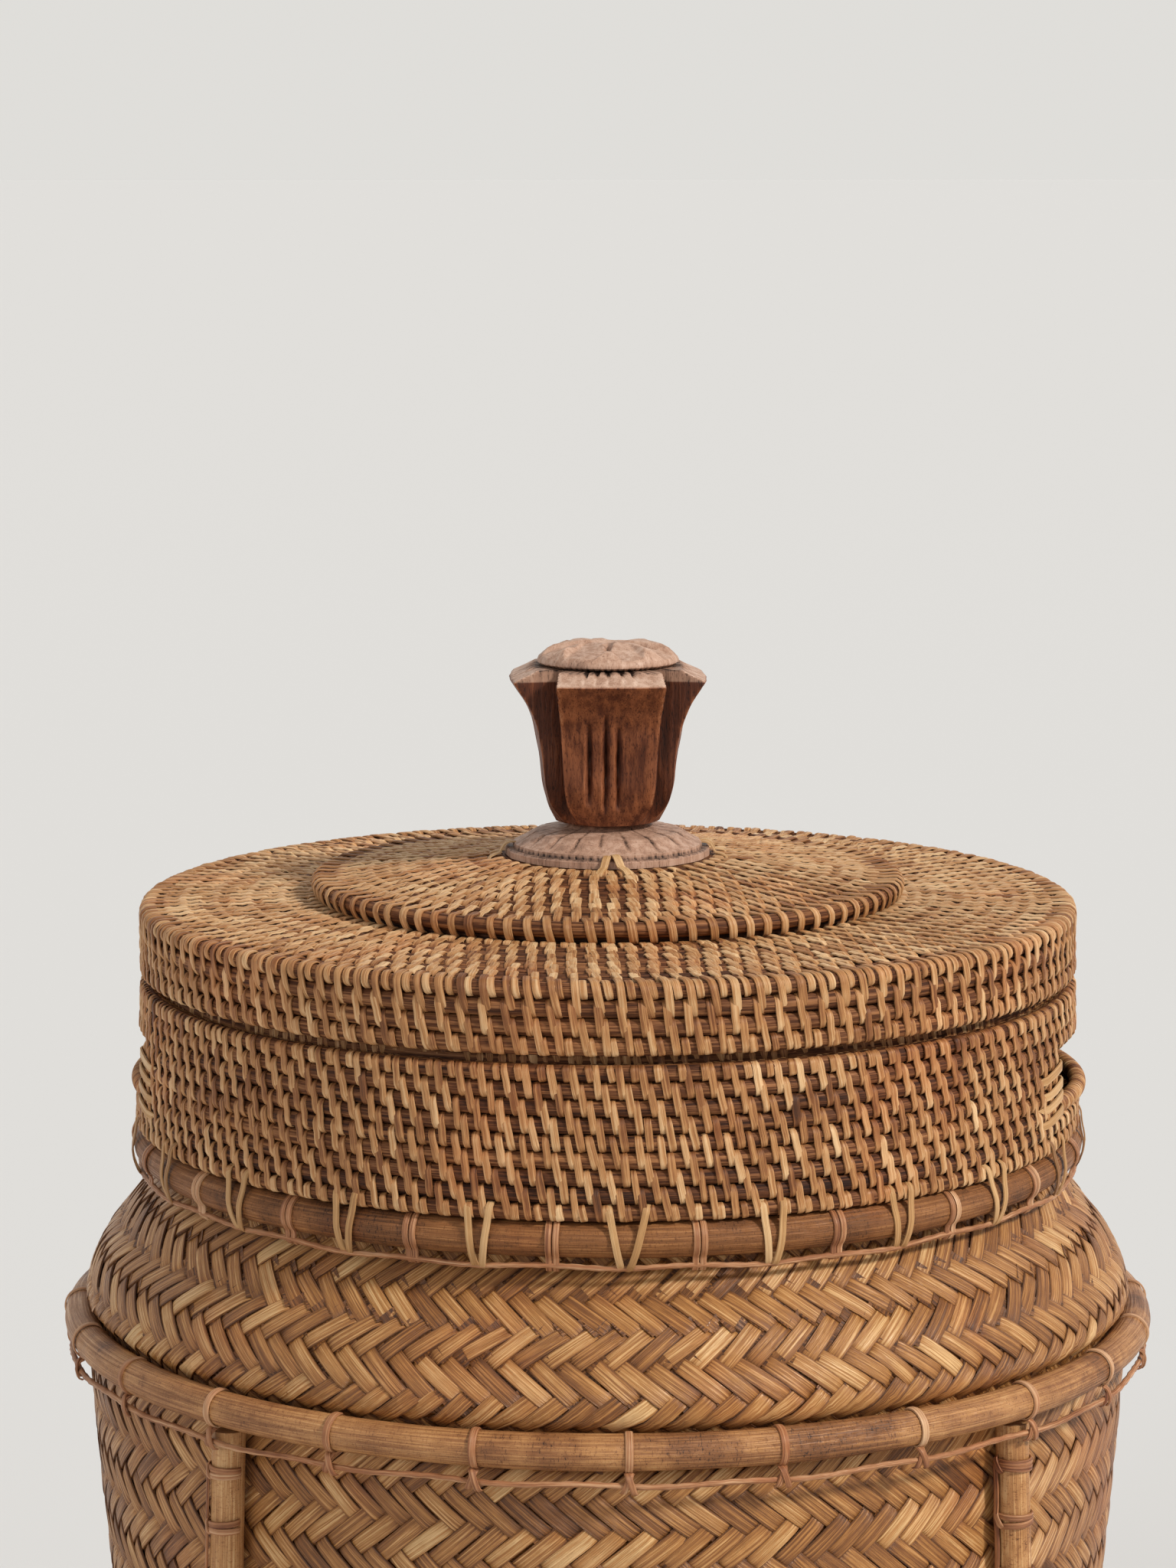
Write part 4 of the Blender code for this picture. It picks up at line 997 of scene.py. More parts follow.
def wall_shell(stations=140, levels=60):
    """The layer between the outer and inner floats, neck to foot, coloured dark as painted shade.
    """
    turn = spaced(stations)[:, None]
    down = np.linspace(0.0, FOOT_ALONG, levels)
    points = np.concatenate((body.place(turn, down[::-1], lift=-0.00142),
                             body.place(turn, down, lift=-0.00170)), axis=1)
    uv = grid_uv(np.linspace(0.0, FULL_TURN * 0.16, stations + 1)[:, None],
                 np.linspace(0.0, 2.0 * body.along[-1], 2 * levels + 1))
    return points[None], uv[None], 0.12, True


make_piece("body_shell", "basket", gap_shade_finish, [wall_shell()],
           replaces=("body_wall",))
MIDDLE_ROW = int((body.along[np.argmin(np.abs(heights - MIDDLE_Z))] - FIRST_ROW) / ROW_HEIGHT) + 1
LOW_ROW = (MIDDLE_ROW + ROWS) // 2
# The shoulder's floats get a higher tone: painted light where the shoulder faces up
make_piece("shoulder_weave", "basket", weave_finish,
           floats(body, range(0, MIDDLE_ROW), FIRST_ROW, SHINGLE, tone=0.60, ragged=1.5))
make_piece("side_weave", "basket", weave_finish,
           floats(body, range(MIDDLE_ROW, LOW_ROW), FIRST_ROW, SHINGLE))
make_piece("foot_weave", "basket", weave_finish,
           floats(body, range(LOW_ROW, ROWS), FIRST_ROW))
INNER_FLOAT = np.array((-1.0, -0.8, -0.35, 0.35, 0.8, 1.0))
INNER_STYLE = {"section": PLAIN_STRIP, "span": INNER_FLOAT, "sink": 0.0007, "thick": 0.0005}
make_piece("inner_weave", "basket", weave_finish,
           floats(body_inside, range(0, ROWS), first_along=0.002, tone=0.40, **INNER_STYLE))
print(f"{ROWS} rows of floats, {ROW_HEIGHT * 1000:.2f} mm; strips {STRIP_WIDTH * 1000:.2f} mm")

# %% [markdown]
# ## Hoops and posts
#
# Whole canes are tubes whose thickness drifts, with a raised ring where a leaf grew. The foot
# hoop follows the square of the base and is worn flat below.

# %% Hoops
for name, node, finish, radius, height, cane, looks in (
        ("neck_cane", "neck_hoop", dark_cane_finish, NECK_HOOP_RADIUS, NECK_Z, NECK_CANE,
         {"tone": 0.38, "seed": 1.0, "joints": (-2.6, 0.7, 2.2)}),
        ("middle_cane", "mid_hoop", cane_finish, MIDDLE_HOOP_RADIUS, MIDDLE_Z, MIDDLE_CANE,
         {"tone": 0.58, "seed": 2.4, "joints": (-2.85, -1.0, 0.9, 2.6)})):
    make_piece(name, "basket", finish,
               [cane_ring(radius, height, cane * 0.985, sides=18, **looks)], replaces=(node,))
for name, node, wall, height, half in (
        ("neck_cane_inside", "neck_hoop_inner", NECK_RADIUS, NECK_Z, 0.0032),
        ("middle_cane_inside", "mid_hoop_inner", MIDDLE_RADIUS, MIDDLE_Z, 0.0024)):
    back = wall - 0.0027
    turned(name, "basket", cane_finish,
           ((back, height - half), (back, height + half), (back - 0.0010, height + half + 0.0002),
            (back - 0.0029, height + half * 0.6), (back - 0.0029, height - half * 0.6),
            (back - 0.0010, height - half - 0.0002)), replaces=(node,), tone=0.5)

FOOT_CANE = 0.0055
FOOT_CANE_Z = 0.00508
FOOT_CANE_OUT = 0.0056
FOOT_LENGTH = 1.03
foot_side, foot_corner = body_levels(np.array([WALL_FOOT]))


def wall_foot(turn):
    """How far out the wall's foot is, side + corner sin(2 turn)^2."""
    return foot_side + foot_corner * np.sin(2.0 * turn) ** 2


def foot_ring(stations=240, sides=16):
    """A tube round the wall's foot, clipped flat at the floor."""
    turn, angle = spaced(stations)[:, None], spaced(sides)
    reach = wall_foot(turn) + FOOT_CANE_OUT + FOOT_CANE * np.cos(angle)
    height = np.maximum(FOOT_CANE_Z + FOOT_CANE * np.sin(angle), 0.0)
    return ring_tube(reach, turn, height, FOOT_LENGTH, round_girth(sides, FOOT_CANE), 0.5)


make_piece("foot_cane", "basket", cane_finish, [foot_ring()], replaces=("base_hoop",))

# %% Posts and their ties
TIES_ON_POST = 10
TIE_STEP = 0.0170
tie_level = 0.0125 + TIE_STEP * np.arange(TIES_ON_POST)
SWEEP = np.linspace(-2.15, 1.75, 17)[None]
CLIMB = np.linspace(0.0, 1.0, 9)[None]
KNOT = np.linspace(-1.0, 1.0, 9)[None]


def post_cane(post, number, sides=18, stations=90):
    """The post's cane, with two joints at heights of its own."""
    around = spaced(sides)
    along = np.linspace(0.0, post.length, stations)[:, None]
    lift = 0.0001 * np.sin(along * 70.0 + number) - 0.00015
    for joint in (0.062 + 0.011 * number, 0.150 - 0.008 * number):
        lift = lift + leaf_ring(np.abs(along - joint), rise=0.0003)
    points = post.place(*np.broadcast_arrays(around, along, lift))
    uv = grid_uv(along, round_girth(sides, POST_RADIUS)) + number
    return points[None], uv[None], 0.62 + 0.03 * number, False


wraps, uprights, crossings = [], [], []
for number, beside in ((1, -1.52), (2, -1.52), (3, -0.90), (4, -2.0)):
    angle = math.radians(90.0 * number - 45.0)
    out = np.array((math.cos(angle), math.sin(angle), 0.0))
    post = Post(out * POST_SPREAD[1] + (0.0, 0.0, POST_TOP_Z),
                out * POST_SPREAD[0] + (0.0, 0.0, POST_FOOT_Z), out, POST_RADIUS)
    make_piece(f"corner_post_{number}", "basket", cane_finish,
               [post_cane(post, number)], replaces=(f"post_{number}",), sharp=60.0)
    # Two wraps at each tie
    level = (np.repeat(tie_level, 2) + np.tile((-0.00095, 0.00095), TIES_ON_POST))[:, None]
    slope = CHANCE.normal(0.0, 0.0003, level.shape)
    wraps.append(strands(post, SWEEP, level + slope * SWEEP,
                         lift=0.00012 - 0.0011 * np.abs((SWEEP + 0.2) / 1.95) ** 14,
                         half_width=0.00098, thick=0.00060,
                         tone=0.42 + drifting(len(level), 0.12)))
    # A strand climbs beside the post from tie to tie
    uprights.append(strands(post, beside + 0.10 * np.sin(CLIMB * math.pi),
                            tie_level[:-1, None] + CLIMB * TIE_STEP, lift=0.0005,
                            half_width=0.00092, thick=0.0008,
                            tone=0.36 + drifting(TIES_ON_POST - 1, 0.1)))
    # and crosses the two wraps slantwise where it is tucked
    crossings.append(strands(post, beside + 0.22 + 0.24 * KNOT, tie_level[:, None] + 0.0024 * KNOT,
                             lift=0.0008 - 0.0009 * KNOT ** 4, half_width=0.00095,
                             thick=0.00062, tone=0.55 + drifting(TIES_ON_POST, 0.1)))
make_piece("post_ties", "basket", tie_finish, wraps + uprights + crossings,
           replaces=tuple(f"post_lashing_{number}" for number in (1, 2, 3, 4)))

# %% [markdown]
# ## Lashings
#
# At the neck a reddish strand runs below the hoop and comes up over it in pairs. Between the
# pairs pale strips come down from the collar, meet below the hoop and go up again, which ties
# the collar to the body. The middle hoop has single pale wraps, knotted on a strand below it.

# %% Neck ties
NECK_TIES = 22
down_hoop = np.linspace(1.9, -0.95, 15)
neck_ties = Outline(
    np.concatenate((NECK_HOOP_RADIUS + NECK_CANE * np.cos(down_hoop), (0.1512, 0.1508))),
    np.concatenate((NECK_Z + NECK_CANE * np.sin(down_hoop), (NECK_Z - 0.0072, NECK_Z - 0.0092))))
between_ties = (FRONT + (np.arange(NECK_TIES) + 0.5) * FULL_TURN / NECK_TIES)[:, None]
t = np.linspace(0.0, 1.0, 17)[None]
blocks = []
for shift in (-0.0011, 0.0011):
    slip = CHANCE.normal(0.0, 0.0004, (NECK_TIES, 1)) / NECK_HOOP_RADIUS
    turn = between_ties + shift / NECK_HOOP_RADIUS + slip * (t - 0.3)
    blocks.append(strands(neck_ties, turn, neck_ties.along[-1] * t,
                          lift=0.00006 - 0.0009 * np.abs(2.0 * t - 1.0) ** 14,
                          half_width=0.00098, thick=0.00062,
                          tone=0.52 + drifting(NECK_TIES, 0.12)))


def runner(radius, height, thick, ties, seed, stations=480, sides=8):
    """A two-ply strand round the basket: its section's radius turns with the twist."""
    turn, angle = spaced(stations)[:, None], spaced(sides)
    reach = thick * (1.0 + 0.16 * np.cos(2.0 * angle - 160.0 * turn))
    sag = 0.0004 * np.cos(ties * turn + seed) + 0.00025 * np.sin(7.0 * turn + seed)
    out = radius + 0.0002 * np.sin(11.0 * turn + seed) + reach * np.cos(angle)
    return ring_tube(out, turn, height + sag + reach * np.sin(angle), FULL_TURN * radius,
                     round_girth(sides, thick), 0.50)


blocks.append(runner(radius=0.1511, height=NECK_Z - 0.0078, thick=0.00085, ties=NECK_TIES,
                     seed=0.4))
make_piece("neck_ties", "basket", tie_finish, blocks,
           replaces=("neck_hoop_lashing",))

collar_tie = Outline((0.1512, 0.1520, 0.1521, 0.1523, 0.1529, 0.1532, 0.1529, 0.1517, 0.1509),
                     (0.2745, 0.2722, 0.2698, 0.2676, 0.2650, 0.2631, 0.2600, 0.2560, 0.2538))
at_ties = (FRONT + spaced(NECK_TIES))[:, None]
t = np.linspace(0.0, 1.0, 15)[None]
blocks = []
for leg in (-1.0, 1.0):
    spread = 0.0024 + np.abs(CHANCE.normal(0.0, 0.0018, (NECK_TIES, 1)))
    foot = CHANCE.normal(0.0, 0.0005, (NECK_TIES, 1))
    turn = at_ties + (foot + leg * (0.0006 + spread * (1.0 - t) ** 0.8)) / 0.153
    lift = 0.0002 + 0.0003 * np.sin(math.pi * t) - 0.0014 * np.abs(2.0 * t - 1.0) ** 10
    blocks.append(strands(collar_tie, turn, collar_tie.along[-1] * t, lift + 0.0002 * (leg + 1.0),
                          half_width=0.00110, thick=0.00050,
                          tone=0.44 + drifting(NECK_TIES, 0.14)))
make_piece("collar_ties", "basket", pale_finish, blocks)

# %% Ties of the middle hoop
MIDDLE_TIES = 24
down_hoop = np.linspace(2.3, -1.6, 19)
middle_ties = Outline(MIDDLE_HOOP_RADIUS + MIDDLE_CANE * np.cos(down_hoop),
                      MIDDLE_Z + MIDDLE_CANE * np.sin(down_hoop))
at_ties = (FRONT + spaced(MIDDLE_TIES))[:, None]
t = np.linspace(0.0, 1.0, 21)[None]
slip = CHANCE.normal(0.0, 0.0005, (MIDDLE_TIES, 1)) / MIDDLE_HOOP_RADIUS
blocks = [strands(middle_ties, at_ties + slip * (t - 0.5), middle_ties.along[-1] * t,
                  lift=0.00008 - 0.0010 * np.abs(2.0 * t - 1.0) ** 16, half_width=0.00118,
                  thick=0.00060, tone=0.62 + drifting(MIDDLE_TIES, 0.12)),
          runner(radius=0.1740, height=MIDDLE_Z - 0.0091, thick=0.00090, ties=MIDDLE_TIES,
                 seed=1.9)]
# A knot is two short strips crossed over the strand below the hoop
over_knot = Outline((0.1736, 0.1744, 0.1748, 0.1744, 0.1736),
                    MIDDLE_Z - np.array((0.0052, 0.0068, 0.0088, 0.0106, 0.0118)))
t = np.linspace(0.0, 1.0, 9)[None]
for lean in (-1.0, 1.0):
    turn = at_ties + (lean * 0.0027 * (t - 0.5) + 0.0006 * lean) / 0.1744
    lift = 0.0003 * (1.5 + lean) - 0.0008 * np.abs(2.0 * t - 1.0) ** 6
    blocks.append(strands(over_knot, turn, over_knot.along[-1] * t, lift, half_width=0.00095,
                          thick=0.0006, tone=0.45 + drifting(MIDDLE_TIES, 0.1)))
make_piece("middle_ties", "basket", tie_finish, blocks,
           replaces=("mid_hoop_lashing",))

# %% [markdown]
# ## Carved knob
#
# The knob is carved from one piece of wood: a low flange, a round neck, four petals that flare
# to a lip, and a domed cap. Its surface is a grid round the axis. At each level the radius is a
# circle's, or a petal's: flat faces F / cos(a), bowed a little, then straight into a V notch.
# Knife cuts are taken off that radius with smooth bumps, and the same sums darken the colour
# there, which is painted shade.

# %% Knob
KNOB_FOOT_Z = KNOB_SEAT_Z + CLEARANCE
KNOB_HEIGHT = 0.0693
AROUND = 320
LIP_HEIGHT = KNOB_HEIGHT - 0.0122


def plain_rows(*levels):
    """Rows of a round part, from (height, radius)."""
    return [(height, 0, radius, 0, 0, 0) for height, radius in levels]


def knob_levels():
    """Rows of (height, petal share, round radius, face, half width, notch), foot upwards."""
    bowl_foot = 0.0112
    bowl = LIP_HEIGHT - bowl_foot
    share = np.linspace(0.0, 1.0, 90)
    keys = (0.0, 0.11, 0.26, 0.48, 0.70, 0.85, 0.955, 1.0)
    face = np.interp(share, keys, (16.0, 19.1, 21.0, 22.0, 23.9, 26.75, 30.2, 31.5)) / 1000.0
    half = np.interp(share, keys, (11.0, 13.4, 14.6, 15.2, 15.8, 16.5, 17.2, 17.5)) / 1000.0
    notch = np.interp(share, keys, (11.6, 14.4, 15.7, 16.1, 16.3, 16.4, 16.5, 16.6)) / 1000.0
    smooth = np.ones(9) / 9.0
    for curve in (face, half, notch):
        padded = np.concatenate((np.full(4, curve[0]), curve, np.full(4, curve[-1])))
        curve[3:-3] = np.convolve(padded, smooth, "valid")[3:-3]
    rows = plain_rows((0.0, 0.0010), (0.0, 0.0200), (0.0, 0.0328), (0.0019, 0.0328),
                      (0.0025, 0.0322), (0.0024, 0.0305), (0.0039, 0.0303), (0.0050, 0.0280),
                      (0.0066, 0.0255), (0.0076, 0.0236), (0.0082, 0.0200), (0.0088, 0.0160),
                      (0.0092, 0.0140), (0.0103, 0.0126))
    squared = np.clip(share / 0.16, 0.0, 1.0) ** 0.8
    rows += [(bowl_foot + bowl * s, q, f * 1.05, f, h, 0.88 * n)
             for s, q, f, h, n in zip(share, squared, face, half, notch)]
    rows += [(LIP_HEIGHT + 0.0006, 1, 0.0, 0.0310, 0.0173, 0.0146),
             (LIP_HEIGHT + 0.0026, 1, 0.0, 0.0265, 0.0168, 0.0146),
             (LIP_HEIGHT + 0.0040, 1, 0.0, 0.0238, 0.0165, 0.0146)]
    rows += plain_rows(*((KNOB_HEIGHT - drop, radius) for drop, radius in
                         ((0.0077, 0.0216), (0.0070, 0.0226), (0.0064, 0.0226), (0.0053, 0.0222),
                          (0.0038, 0.0211), (0.0022, 0.0194), (0.0011, 0.0174), (0.0005, 0.0140),
                          (0.0002, 0.0090), (0.0001, 0.0045), (0.0001, 0.0002))))
    rows = np.array(rows, float)
    # Round rows take the petal sizes of the rows around them
    petal = np.flatnonzero(rows[:, 3] > 0.0)
    for column in (3, 4, 5):
        rows[:, column] = np.interp(np.arange(len(rows)), petal, rows[petal, column])
    return rows


def dense(rows, most):
    """Add levels where neighbours are more than `most` apart."""
    reach = np.where(rows[:, 1] > 0.5, rows[:, 3], rows[:, 2])
    step = np.hypot(np.diff(rows[:, 0]), np.diff(reach))
    counts = np.maximum(1, np.ceil(step / most)).astype(int)
    at = np.concatenate([k + np.arange(c) / c for k, c in enumerate(counts)] + [[len(rows) - 1.0]])
    return np.stack([np.interp(at, np.arange(len(rows)), column) for column in rows.T], axis=1)


def bump_between(x, low, high):
    """The same smooth bump, given by its two ends."""
    return bump_at(x, (low + high) / 2.0, (high - low) / 2.0)


# Gouges are (place on the petal, lower end, upper end), nicks only a place on the petal
PETAL_GOUGES = ((-0.0076, 0.0180, 0.0450), (-0.0022, 0.0150, 0.0480), (0.0019, 0.0165, 0.0440))
CAP_NICKS = (-0.0078, -0.0044, -0.0008, 0.0038, 0.0074)
# Chips are (degrees, start, slope, half width), V cuts (turn, inner end, outer end)
CAP_CHIPS = ((-118, 0.0050, 0.24, 0.0050), (-70, 0.0078, 0.30, 0.0036),
             (-28, 0.0110, 0.42, 0.0034), (24, 0.0125, 0.46, 0.0040), (66, 0.0062, 0.26, 0.0046),
             (92, 0.0098, 0.40, 0.0056), (116, 0.0090, 0.34, 0.0034), (155, 0.0120, 0.44, 0.0040),
             (-160, 0.0105, 0.40, 0.0034))
CAP_CUTS = ((-1.62, 0.0040, 0.0175), (-0.35, 0.0040, 0.0190), (0.52, 0.0050, 0.0200),
            (1.32, 0.0080, 0.0205), (2.28, 0.0060, 0.0205), (3.35, 0.0035, 0.0190))


def carve_knob():
    """The knob's points, in rows round the axis, and the tone of each."""
    rows = dense(knob_levels(), 0.00070)
    height, petal, circle, face, half, notch = (rows[:, k][:, None] for k in range(6))
    angle = spaced(AROUND)[None]
    quarter = (angle + math.pi / 4.0) % (math.pi / 2.0) - math.pi / 4.0
    edge = face * 0.965
    tangent = np.tan(np.abs(quarter))
    bowed = face * (1.0 - 0.035 * np.clip(face * tangent / half, 0.0, 1.2) ** 2) / np.cos(quarter)
    # Straight line from (edge, half) to (notch, notch), in polar form
    nx, ny = half - notch, notch - edge
    across = nx * edge + ny * half
    into = across / (nx * np.cos(np.abs(quarter)) + ny * np.sin(np.abs(quarter)))
    in_notch = np.arctan2(half, edge) <= np.abs(quarter)
    radius = petal * np.where(in_notch, into, bowed) + (1.0 - petal) * circle
    y = face * np.tan(quarter)
    which = np.floor((angle + math.pi / 4.0) / (math.pi / 2.0)).astype(int) % 4

    # Three upright V gouges on each petal, with a raised burr beside each
    gouge, burr = np.zeros_like(radius), np.zeros_like(radius)
    for middle, low, high in PETAL_GOUGES:
        length = bump_between(height, low, high) ** 0.35
        off = y - middle - 0.0004 * (which - 1) - 0.00008 * np.sin(900.0 * height)
        wide = 0.0008 + 0.0005 * length
        gouge = gouge + petal * length * np.clip(1.0 - np.abs(off) / wide, 0.0, None)
        burr = burr + petal * length * bump_at(off, -0.0015, 0.0006)
    # Nicks where the petals meet the cap, with scratches down the lip from them
    nick, scratch = np.zeros_like(radius), np.zeros_like(radius)
    from_joint = (LIP_HEIGHT + 0.0043 - height) / 0.0019
    wide = 0.0013 * (1.0 - from_joint)
    on_lip = petal * bump_at(height, LIP_HEIGHT + 0.0016, 0.0016)
    for middle in CAP_NICKS:
        inside = np.clip((wide - np.abs(y - middle)) / 0.0004, 0.0, 1.0)
        nick = nick + (petal > 0.5) * inside * (from_joint >= 0.0) * (from_joint <= 1.0)
        slip = middle * 1.1 + 0.25 * (height - LIP_HEIGHT - 0.003)
        scratch = scratch + on_lip * bump_at(y, slip, 0.0006)
    cut = 0.0017 * gouge - 0.0002 * burr + 0.0030 * nick + 0.0003 * scratch
    # Small teeth in the joint under the cap
    joint = bump_at(height, KNOB_HEIGHT - 0.0078, 0.0011)
    teeth = np.clip(np.sin(72.0 * angle), 0.0, None)
    cut = cut + 0.0005 * teeth * joint
    # Rays cut into the flange, and small squares round its rim
    rays = np.clip(np.cos(19.0 * angle + 0.4 + 0.5 * np.sin(3.0 * angle)), 0.0, None) ** 12
    rays = rays * bump_at(height, 0.0070, 0.0024 + 0.0007 * np.sin(5.0 * angle)) ** 0.5
    dots = np.clip(np.sin(80.0 * angle), 0.0, None) * bump_at(height, 0.0029, 0.0008)
    cut = cut + 0.0013 * rays + 0.0004 * dots
    # Knife facets left all over
    knife = (np.sin(9.0 * angle + 190.0 * height) * np.sin(5.0 * angle - 90.0 * height + 1.3)
             + 0.6 * np.sin(17.0 * angle + 260.0 * height + 2.0))
    radius = radius - cut - 0.00012 * knife * (radius > 0.008)
    x, y_out = radius * np.cos(angle), radius * np.sin(angle)

    def spoke(turn):
        """How far each point is out along this turn, and how far aside from it."""
        return (x * math.cos(turn) + y_out * math.sin(turn),
                np.abs(-x * math.sin(turn) + y_out * math.cos(turn)))

    # The dome is cut with flat chips that slope outwards, then crossed by V cuts
    drop, chips = np.zeros_like(radius), np.zeros_like(radius)
    dome = KNOB_HEIGHT - height
    on_cap = (height > KNOB_HEIGHT - 0.0066) * np.clip((0.0226 - radius) / 0.0012, 0.0, 1.0)
    for degrees, start, slope, wide in CAP_CHIPS:
        out, aside = spoke(math.radians(degrees))
        chip = 0.0003 + slope * (out - start) - 0.9 * np.clip(aside - wide, 0.0, None) - dome
        chips = np.maximum(chips, np.clip(chip, 0.0, 0.0024) * (out > 0.0))
    for turn, start, end in CAP_CUTS:
        out, aside = spoke(turn)
        wedge = np.clip(1.0 - aside / 0.0021, 0.0, None) * bump_between(out, start, end) ** 0.6
        drop = np.maximum(drop, 0.0030 * wedge)
    uneven = 0.0004 * (1.0 + np.sin(330.0 * x + 1.2) * np.sin(290.0 * y_out + 0.4))
    uneven = uneven + 0.0012 * bump_at(radius, 0.0, 0.0060)
    drop = (np.maximum(drop, chips) + uneven) * on_cap
    points = np.stack((x, y_out, KNOB_FOOT_Z + height - drop), axis=-1)

    # Pale along the petals' edges, partly wear and partly painted highlight, and on the burrs,
    # painted highlight; pale scratches; painted shade in the gouges, notches, nicks, rays, dots,
    # rim groove, joint under the cap and V cuts
    edge_wear_and_highlight = petal * np.exp(-(((np.abs(y) - half) / 0.0006) ** 2)) * 0.22
    tone = 0.40 + edge_wear_and_highlight + 0.14 * burr - 0.34 * gouge - 0.14 * petal * in_notch - 0.75 * nick
    tone = tone + 0.30 * scratch - 0.40 * rays - 0.30 * dots - joint * (0.20 + 0.30 * teeth)
    tone = tone - 0.25 * bump_at(height, 0.0026, 0.0008)
    tone = tone - 110.0 * np.clip(drop - uneven - chips, 0.0, 0.003) * on_cap
    # Raw wood on the flange, the lip and the cap is paler than the handled petals
    on_flange = np.clip((0.0100 - height) / 0.0015, 0.0, 1.0)
    above = np.clip((height - LIP_HEIGHT) / 0.0008, 0.0, 1.0)
    return points, tone + 0.14 * above + 0.06 * on_flange


HANDLED_STOPS = ((0.0, (0.016, 0.004, 0.002)), (0.30, (0.097, 0.026, 0.010)),
                 (0.55, (0.275, 0.093, 0.037)), (0.80, (0.455, 0.205, 0.096)),
                 (1.0, (0.600, 0.370, 0.210)))
RAW_STOPS = ((0.0, (0.020, 0.009, 0.006)), (0.45, (0.430, 0.248, 0.165)),
             (1.0, (0.820, 0.590, 0.450)))


def wood_finish():
    """Reddish-brown wood with upright grain and dark pores, raw above and below the petals."""
    made = Recipe("carved_wood")
    place = made.place()
    long_grain = made.stretched(place, (420.0, 420.0, 38.0))
    grain = made.noise(long_grain, 1.0, 4.0, 0.65).band(0.30, 0.70)
    pores = made.noise(made.stretched(place, (2400.0, 2400.0, 420.0)), 1.0, 2.0, 0.7)
    blotch = made.noise(place, 60.0, 2.0, 0.6)
    amount = made.tone() + (grain - 0.5) * 0.26 + (blotch - 0.5) * 0.40
    amount = amount - pores.band(0.54, 0.66) * 0.20
    level = made.node("SeparateXYZ", {}, {0: place}, output="Z")
    lip = KNOB_FOOT_Z + LIP_HEIGHT
    petals = level.band(KNOB_FOOT_Z + 0.0085, KNOB_FOOT_Z + 0.0115) - level.band(lip, lip + 0.0006)
    colour = made.mix(petals, made.ramp(amount, RAW_STOPS), made.ramp(amount, HANDLED_STOPS))
    return made.finish(colour, 0.52 + (0.5 - grain) * 0.2, grain - pores * 0.5, 0.00012,
                       Specular_IOR_Level=0.3)


points, tone = carve_knob()
uv = grid_uv(np.linspace(0.0, FULL_TURN * 0.022, AROUND + 1),
             np.linspace(0.0, 0.130, len(points))[:, None])
make_piece("carved_knob", "lid", wood_finish(),
           [(points[None], uv[None], tone[None], False)], replaces=("knob",), sharp=42.0)

# Flat pale ties come out of the flange, bend over its rim and spread on the crown
tie_over = Outline((0.0285, 0.0312, 0.0329, 0.0338, 0.0342, 0.0354, 0.0376, 0.0392),
                   KNOB_FOOT_Z + np.array((0.0038, 0.0036, 0.0028, 0.0012, 0.0002, 0.0000, -0.0006,
                                           -0.0030)))
t = np.linspace(0.0, 1.0, 13)[None]
for number, name in enumerate(("right", "back", "left", "front")):
    blocks = []
    for leg in (-1.0, 1.0):
        apart = leg * (0.0010 + (0.0034 + 0.0012 * (leg > 0)) * t ** 1.3)
        lift = 0.0002 + 0.0002 * (leg + 1.0) - 0.0012 * (1.0 - t) ** 8
        blocks.append(strands(tie_over, number * math.pi / 2.0 + apart / 0.034,
                              tie_over.along[-1] * t, lift, half_width=0.00125, thick=0.0006,
                              tone=0.66 + 0.08 * leg))
    make_piece(f"flange_tie_{name}", "lid", pale_finish, blocks,
               replaces=(f"knob_tie_{name}",))

# %% [markdown]
# ## Under the basket
#
# The floor is woven too: the same floats, laid out on a flat sheet above and below a core that is
# coloured dark as painted shade, and trimmed at the wall. Two crossed slats hold it up. They keep
# their solids and get a split-bamboo finish whose fibres follow Object coordinates.

# %% Floor and slats
FLOOR_ROWS = 28
CORE_FOOT_Z, CORE_TOP_Z = 0.0083, 0.0087
UPPER_FLOATS_Z, LOWER_FLOATS_Z = 0.00955, 0.00745


class Sheet:
    """A flat surface: turn runs across it, along runs over it, lift leaves it up or down."""

    def __init__(self, height, up):
        self.height = height
        self.up = up

    def reach(self, turn, along):
        return np.full(np.shape(turn), MEAN_RADIUS)

    def place(self, turn, along, lift):
        across = (turn - FRONT - math.pi) * MEAN_RADIUS
        height = self.height + self.up * lift
        return np.stack(np.broadcast_arrays(across, along, height), axis=-1)


def floor_reach(turn):
    """How far out the floor goes, a little into the wall's thickness."""
    return wall_foot(turn) - 1.25 * WALL_THICKNESS - 0.0006


def inside_wall(points):
    """How far points are from the axis, and how far the floor goes there."""
    away = np.hypot(points[..., 0], points[..., 1])
    return away, floor_reach(np.arctan2(points[..., 1], points[..., 0]))


def trimmed(block):
    """The floats whose middle is inside the wall, cut off where they meet it."""
    points, uv, tone, closed = block
    away, edge = inside_wall(points[:, points.shape[1] // 2, 0])
    keep = away < edge - 0.002
    points = points[keep]
    away, edge = inside_wall(points)
    points[..., :2] *= np.minimum(1.0, edge / away)[..., None]
    return points, uv[keep], tone[keep], closed


def floor_core(stations=160):
    """A thin plate between the upper and the lower floats, dark as painted shade."""
    turn = spaced(stations)[:, None]
    edge = floor_reach(turn)
    middle = np.full_like(edge, 0.0004)
    reach = np.concatenate((middle, edge, edge, middle), axis=1)
    height = np.repeat((CORE_FOOT_Z, CORE_TOP_Z), 2)
    return ring_tube(reach, turn, height, 0.9, np.array((0.0, 0.14, 0.1404, 0.28, 0.2804)), 0.12)


blocks = [floor_core()]
for height, up, shade in ((UPPER_FLOATS_Z, 1.0, 0.44), (LOWER_FLOATS_Z, -1.0, 0.50)):
    blocks += [trimmed(block) for block in
               floats(Sheet(height, up), range(FLOOR_ROWS), -FLOOR_ROWS * ROW_HEIGHT / 2.0,
                      tone=shade, **INNER_STYLE)]
make_piece("floor_weave", "basket", weave_finish,
           [block for block in blocks if len(block[0])], replaces=("base_panel",))


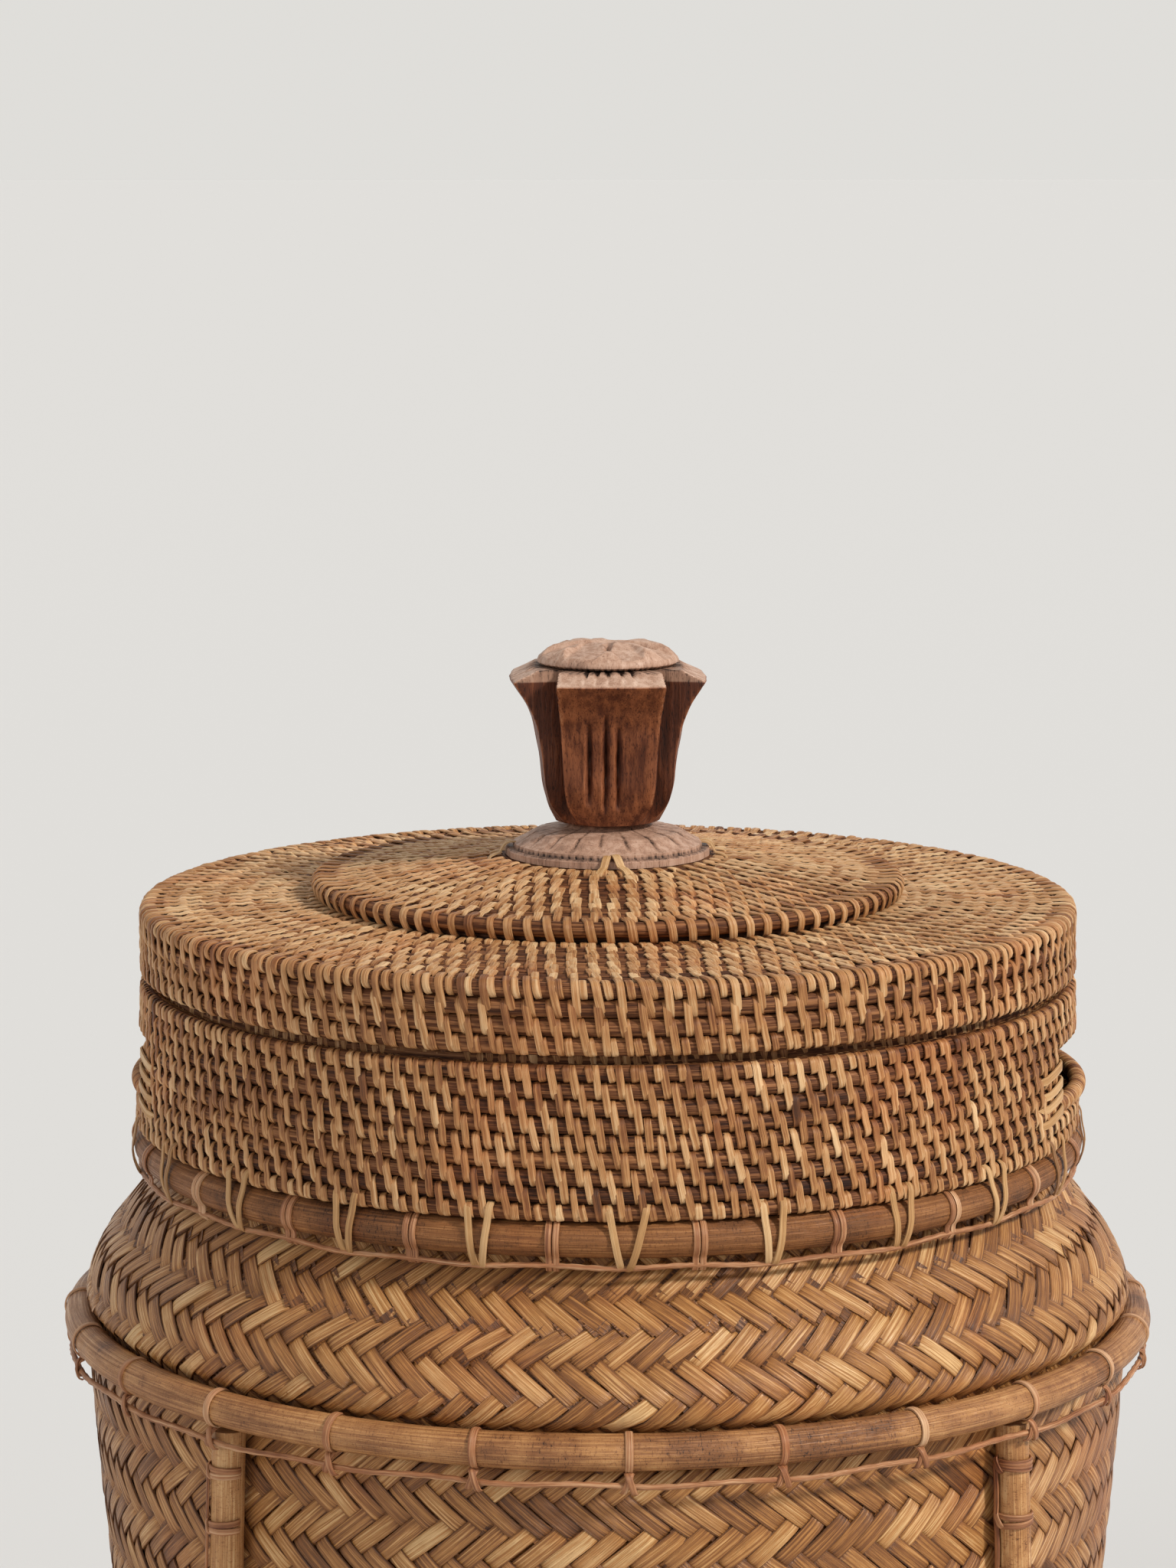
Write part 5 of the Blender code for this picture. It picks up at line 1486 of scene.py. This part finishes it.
def slat_finish(name, angle):
    """Long fibre lines at an angle on the object's own coordinates."""
    made = Recipe(name)
    place = made.place()
    aslant = made.node("Mapping", {"vector_type": "POINT"}, {0: place, 2: (0.0, 0.0, angle)})
    grain = made.noise(made.stretched(aslant, (40.0, 1100.0, 60.0)), 1.0, 3.0, 0.6)
    amount = 0.5 + (grain - 0.5) * 0.8 + (made.noise(place, 30.0) - 0.5) * 0.4
    return made.finish(made.ramp(amount, WEAVE_STOPS), 0.5, grain, 0.0002)


for name, angle in (("base_slat_upper", -math.pi / 4.0), ("base_slat_lower", math.pi / 4.0)):
    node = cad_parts[name]
    node.data.materials.clear()
    node.data.materials.append(slat_finish(name + "_finish", angle))

# %% [markdown]
# ## Floor, backdrop and light
#
# A pale floor, one broad light from the right and above, a weaker one from the left, and an even
# sky. Both lights are suns, which leave no bright pool on the floor. The sky is the floor's own
# colour where the camera sees it, straight or in a reflection, so there is no horizon line.

# %% Studio
STUDIO_PALE = (0.742, 0.729, 0.700)
BASKET_MIDDLE = Vector((0.0, 0.0, 0.22))

floor_mesh = bpy.data.meshes.new("studio_floor")
floor_mesh.from_pydata([(-40, -40, 0), (40, -40, 0), (40, 40, 0), (-40, 40, 0)], [], [(0, 1, 2, 3)])
floor_mesh.materials.append(Recipe("pale_floor").finish((0.730, 0.722, 0.701, 1.0), 0.9))
floor = bpy.data.objects.new("studio_floor", floor_mesh)
bpy.context.scene.collection.objects.link(floor)
floor.location.z = -0.0002


def sun(name, place, strength, colour, degrees):
    """A sun that shines from this place to the middle of the basket, this many degrees wide."""
    data = bpy.data.lights.new(name, "SUN")
    data.energy = strength
    data.color = colour
    data.angle = math.radians(degrees)
    lamp = bpy.data.objects.new(name, data)
    lamp.location = place
    lamp.rotation_euler = (BASKET_MIDDLE - Vector(place)).to_track_quat("-Z", "Y").to_euler()
    bpy.context.scene.collection.objects.link(lamp)


sun("key", (1.9, -1.15, 1.9), 2.9, (1.0, 0.97, 0.93), 9.0)
sun("fill", (-1.5, -1.3, 0.9), 0.51, (0.93, 0.96, 1.0), 32.0)

world = bpy.data.worlds.new("studio_sky")
world.use_nodes = True
bpy.context.scene.world = world
sky, link = world.node_tree.nodes, world.node_tree.links.new
sky["Background"].inputs["Color"].default_value = (0.80, 0.81, 0.83, 1.0)
sky["Background"].inputs["Strength"].default_value = 0.50
seen = sky.new("ShaderNodeBackground")
seen.inputs["Color"].default_value = (*STUDIO_PALE, 1.0)
rays = sky.new("ShaderNodeLightPath")
is_seen = rays.outputs["Is Camera Ray"]
for kind in ("Is Glossy Ray", "Is Transmission Ray"):
    either = sky.new("ShaderNodeMath")
    either.operation = "MAXIMUM"
    link(is_seen, either.inputs[0])
    link(rays.outputs[kind], either.inputs[1])
    is_seen = either.outputs[0]
choose = sky.new("ShaderNodeMixShader")
link(is_seen, choose.inputs[0])
link(sky["Background"].outputs[0], choose.inputs[1])
link(seen.outputs[0], choose.inputs[2])
link(choose.outputs[0], sky["World Output"].inputs["Surface"])
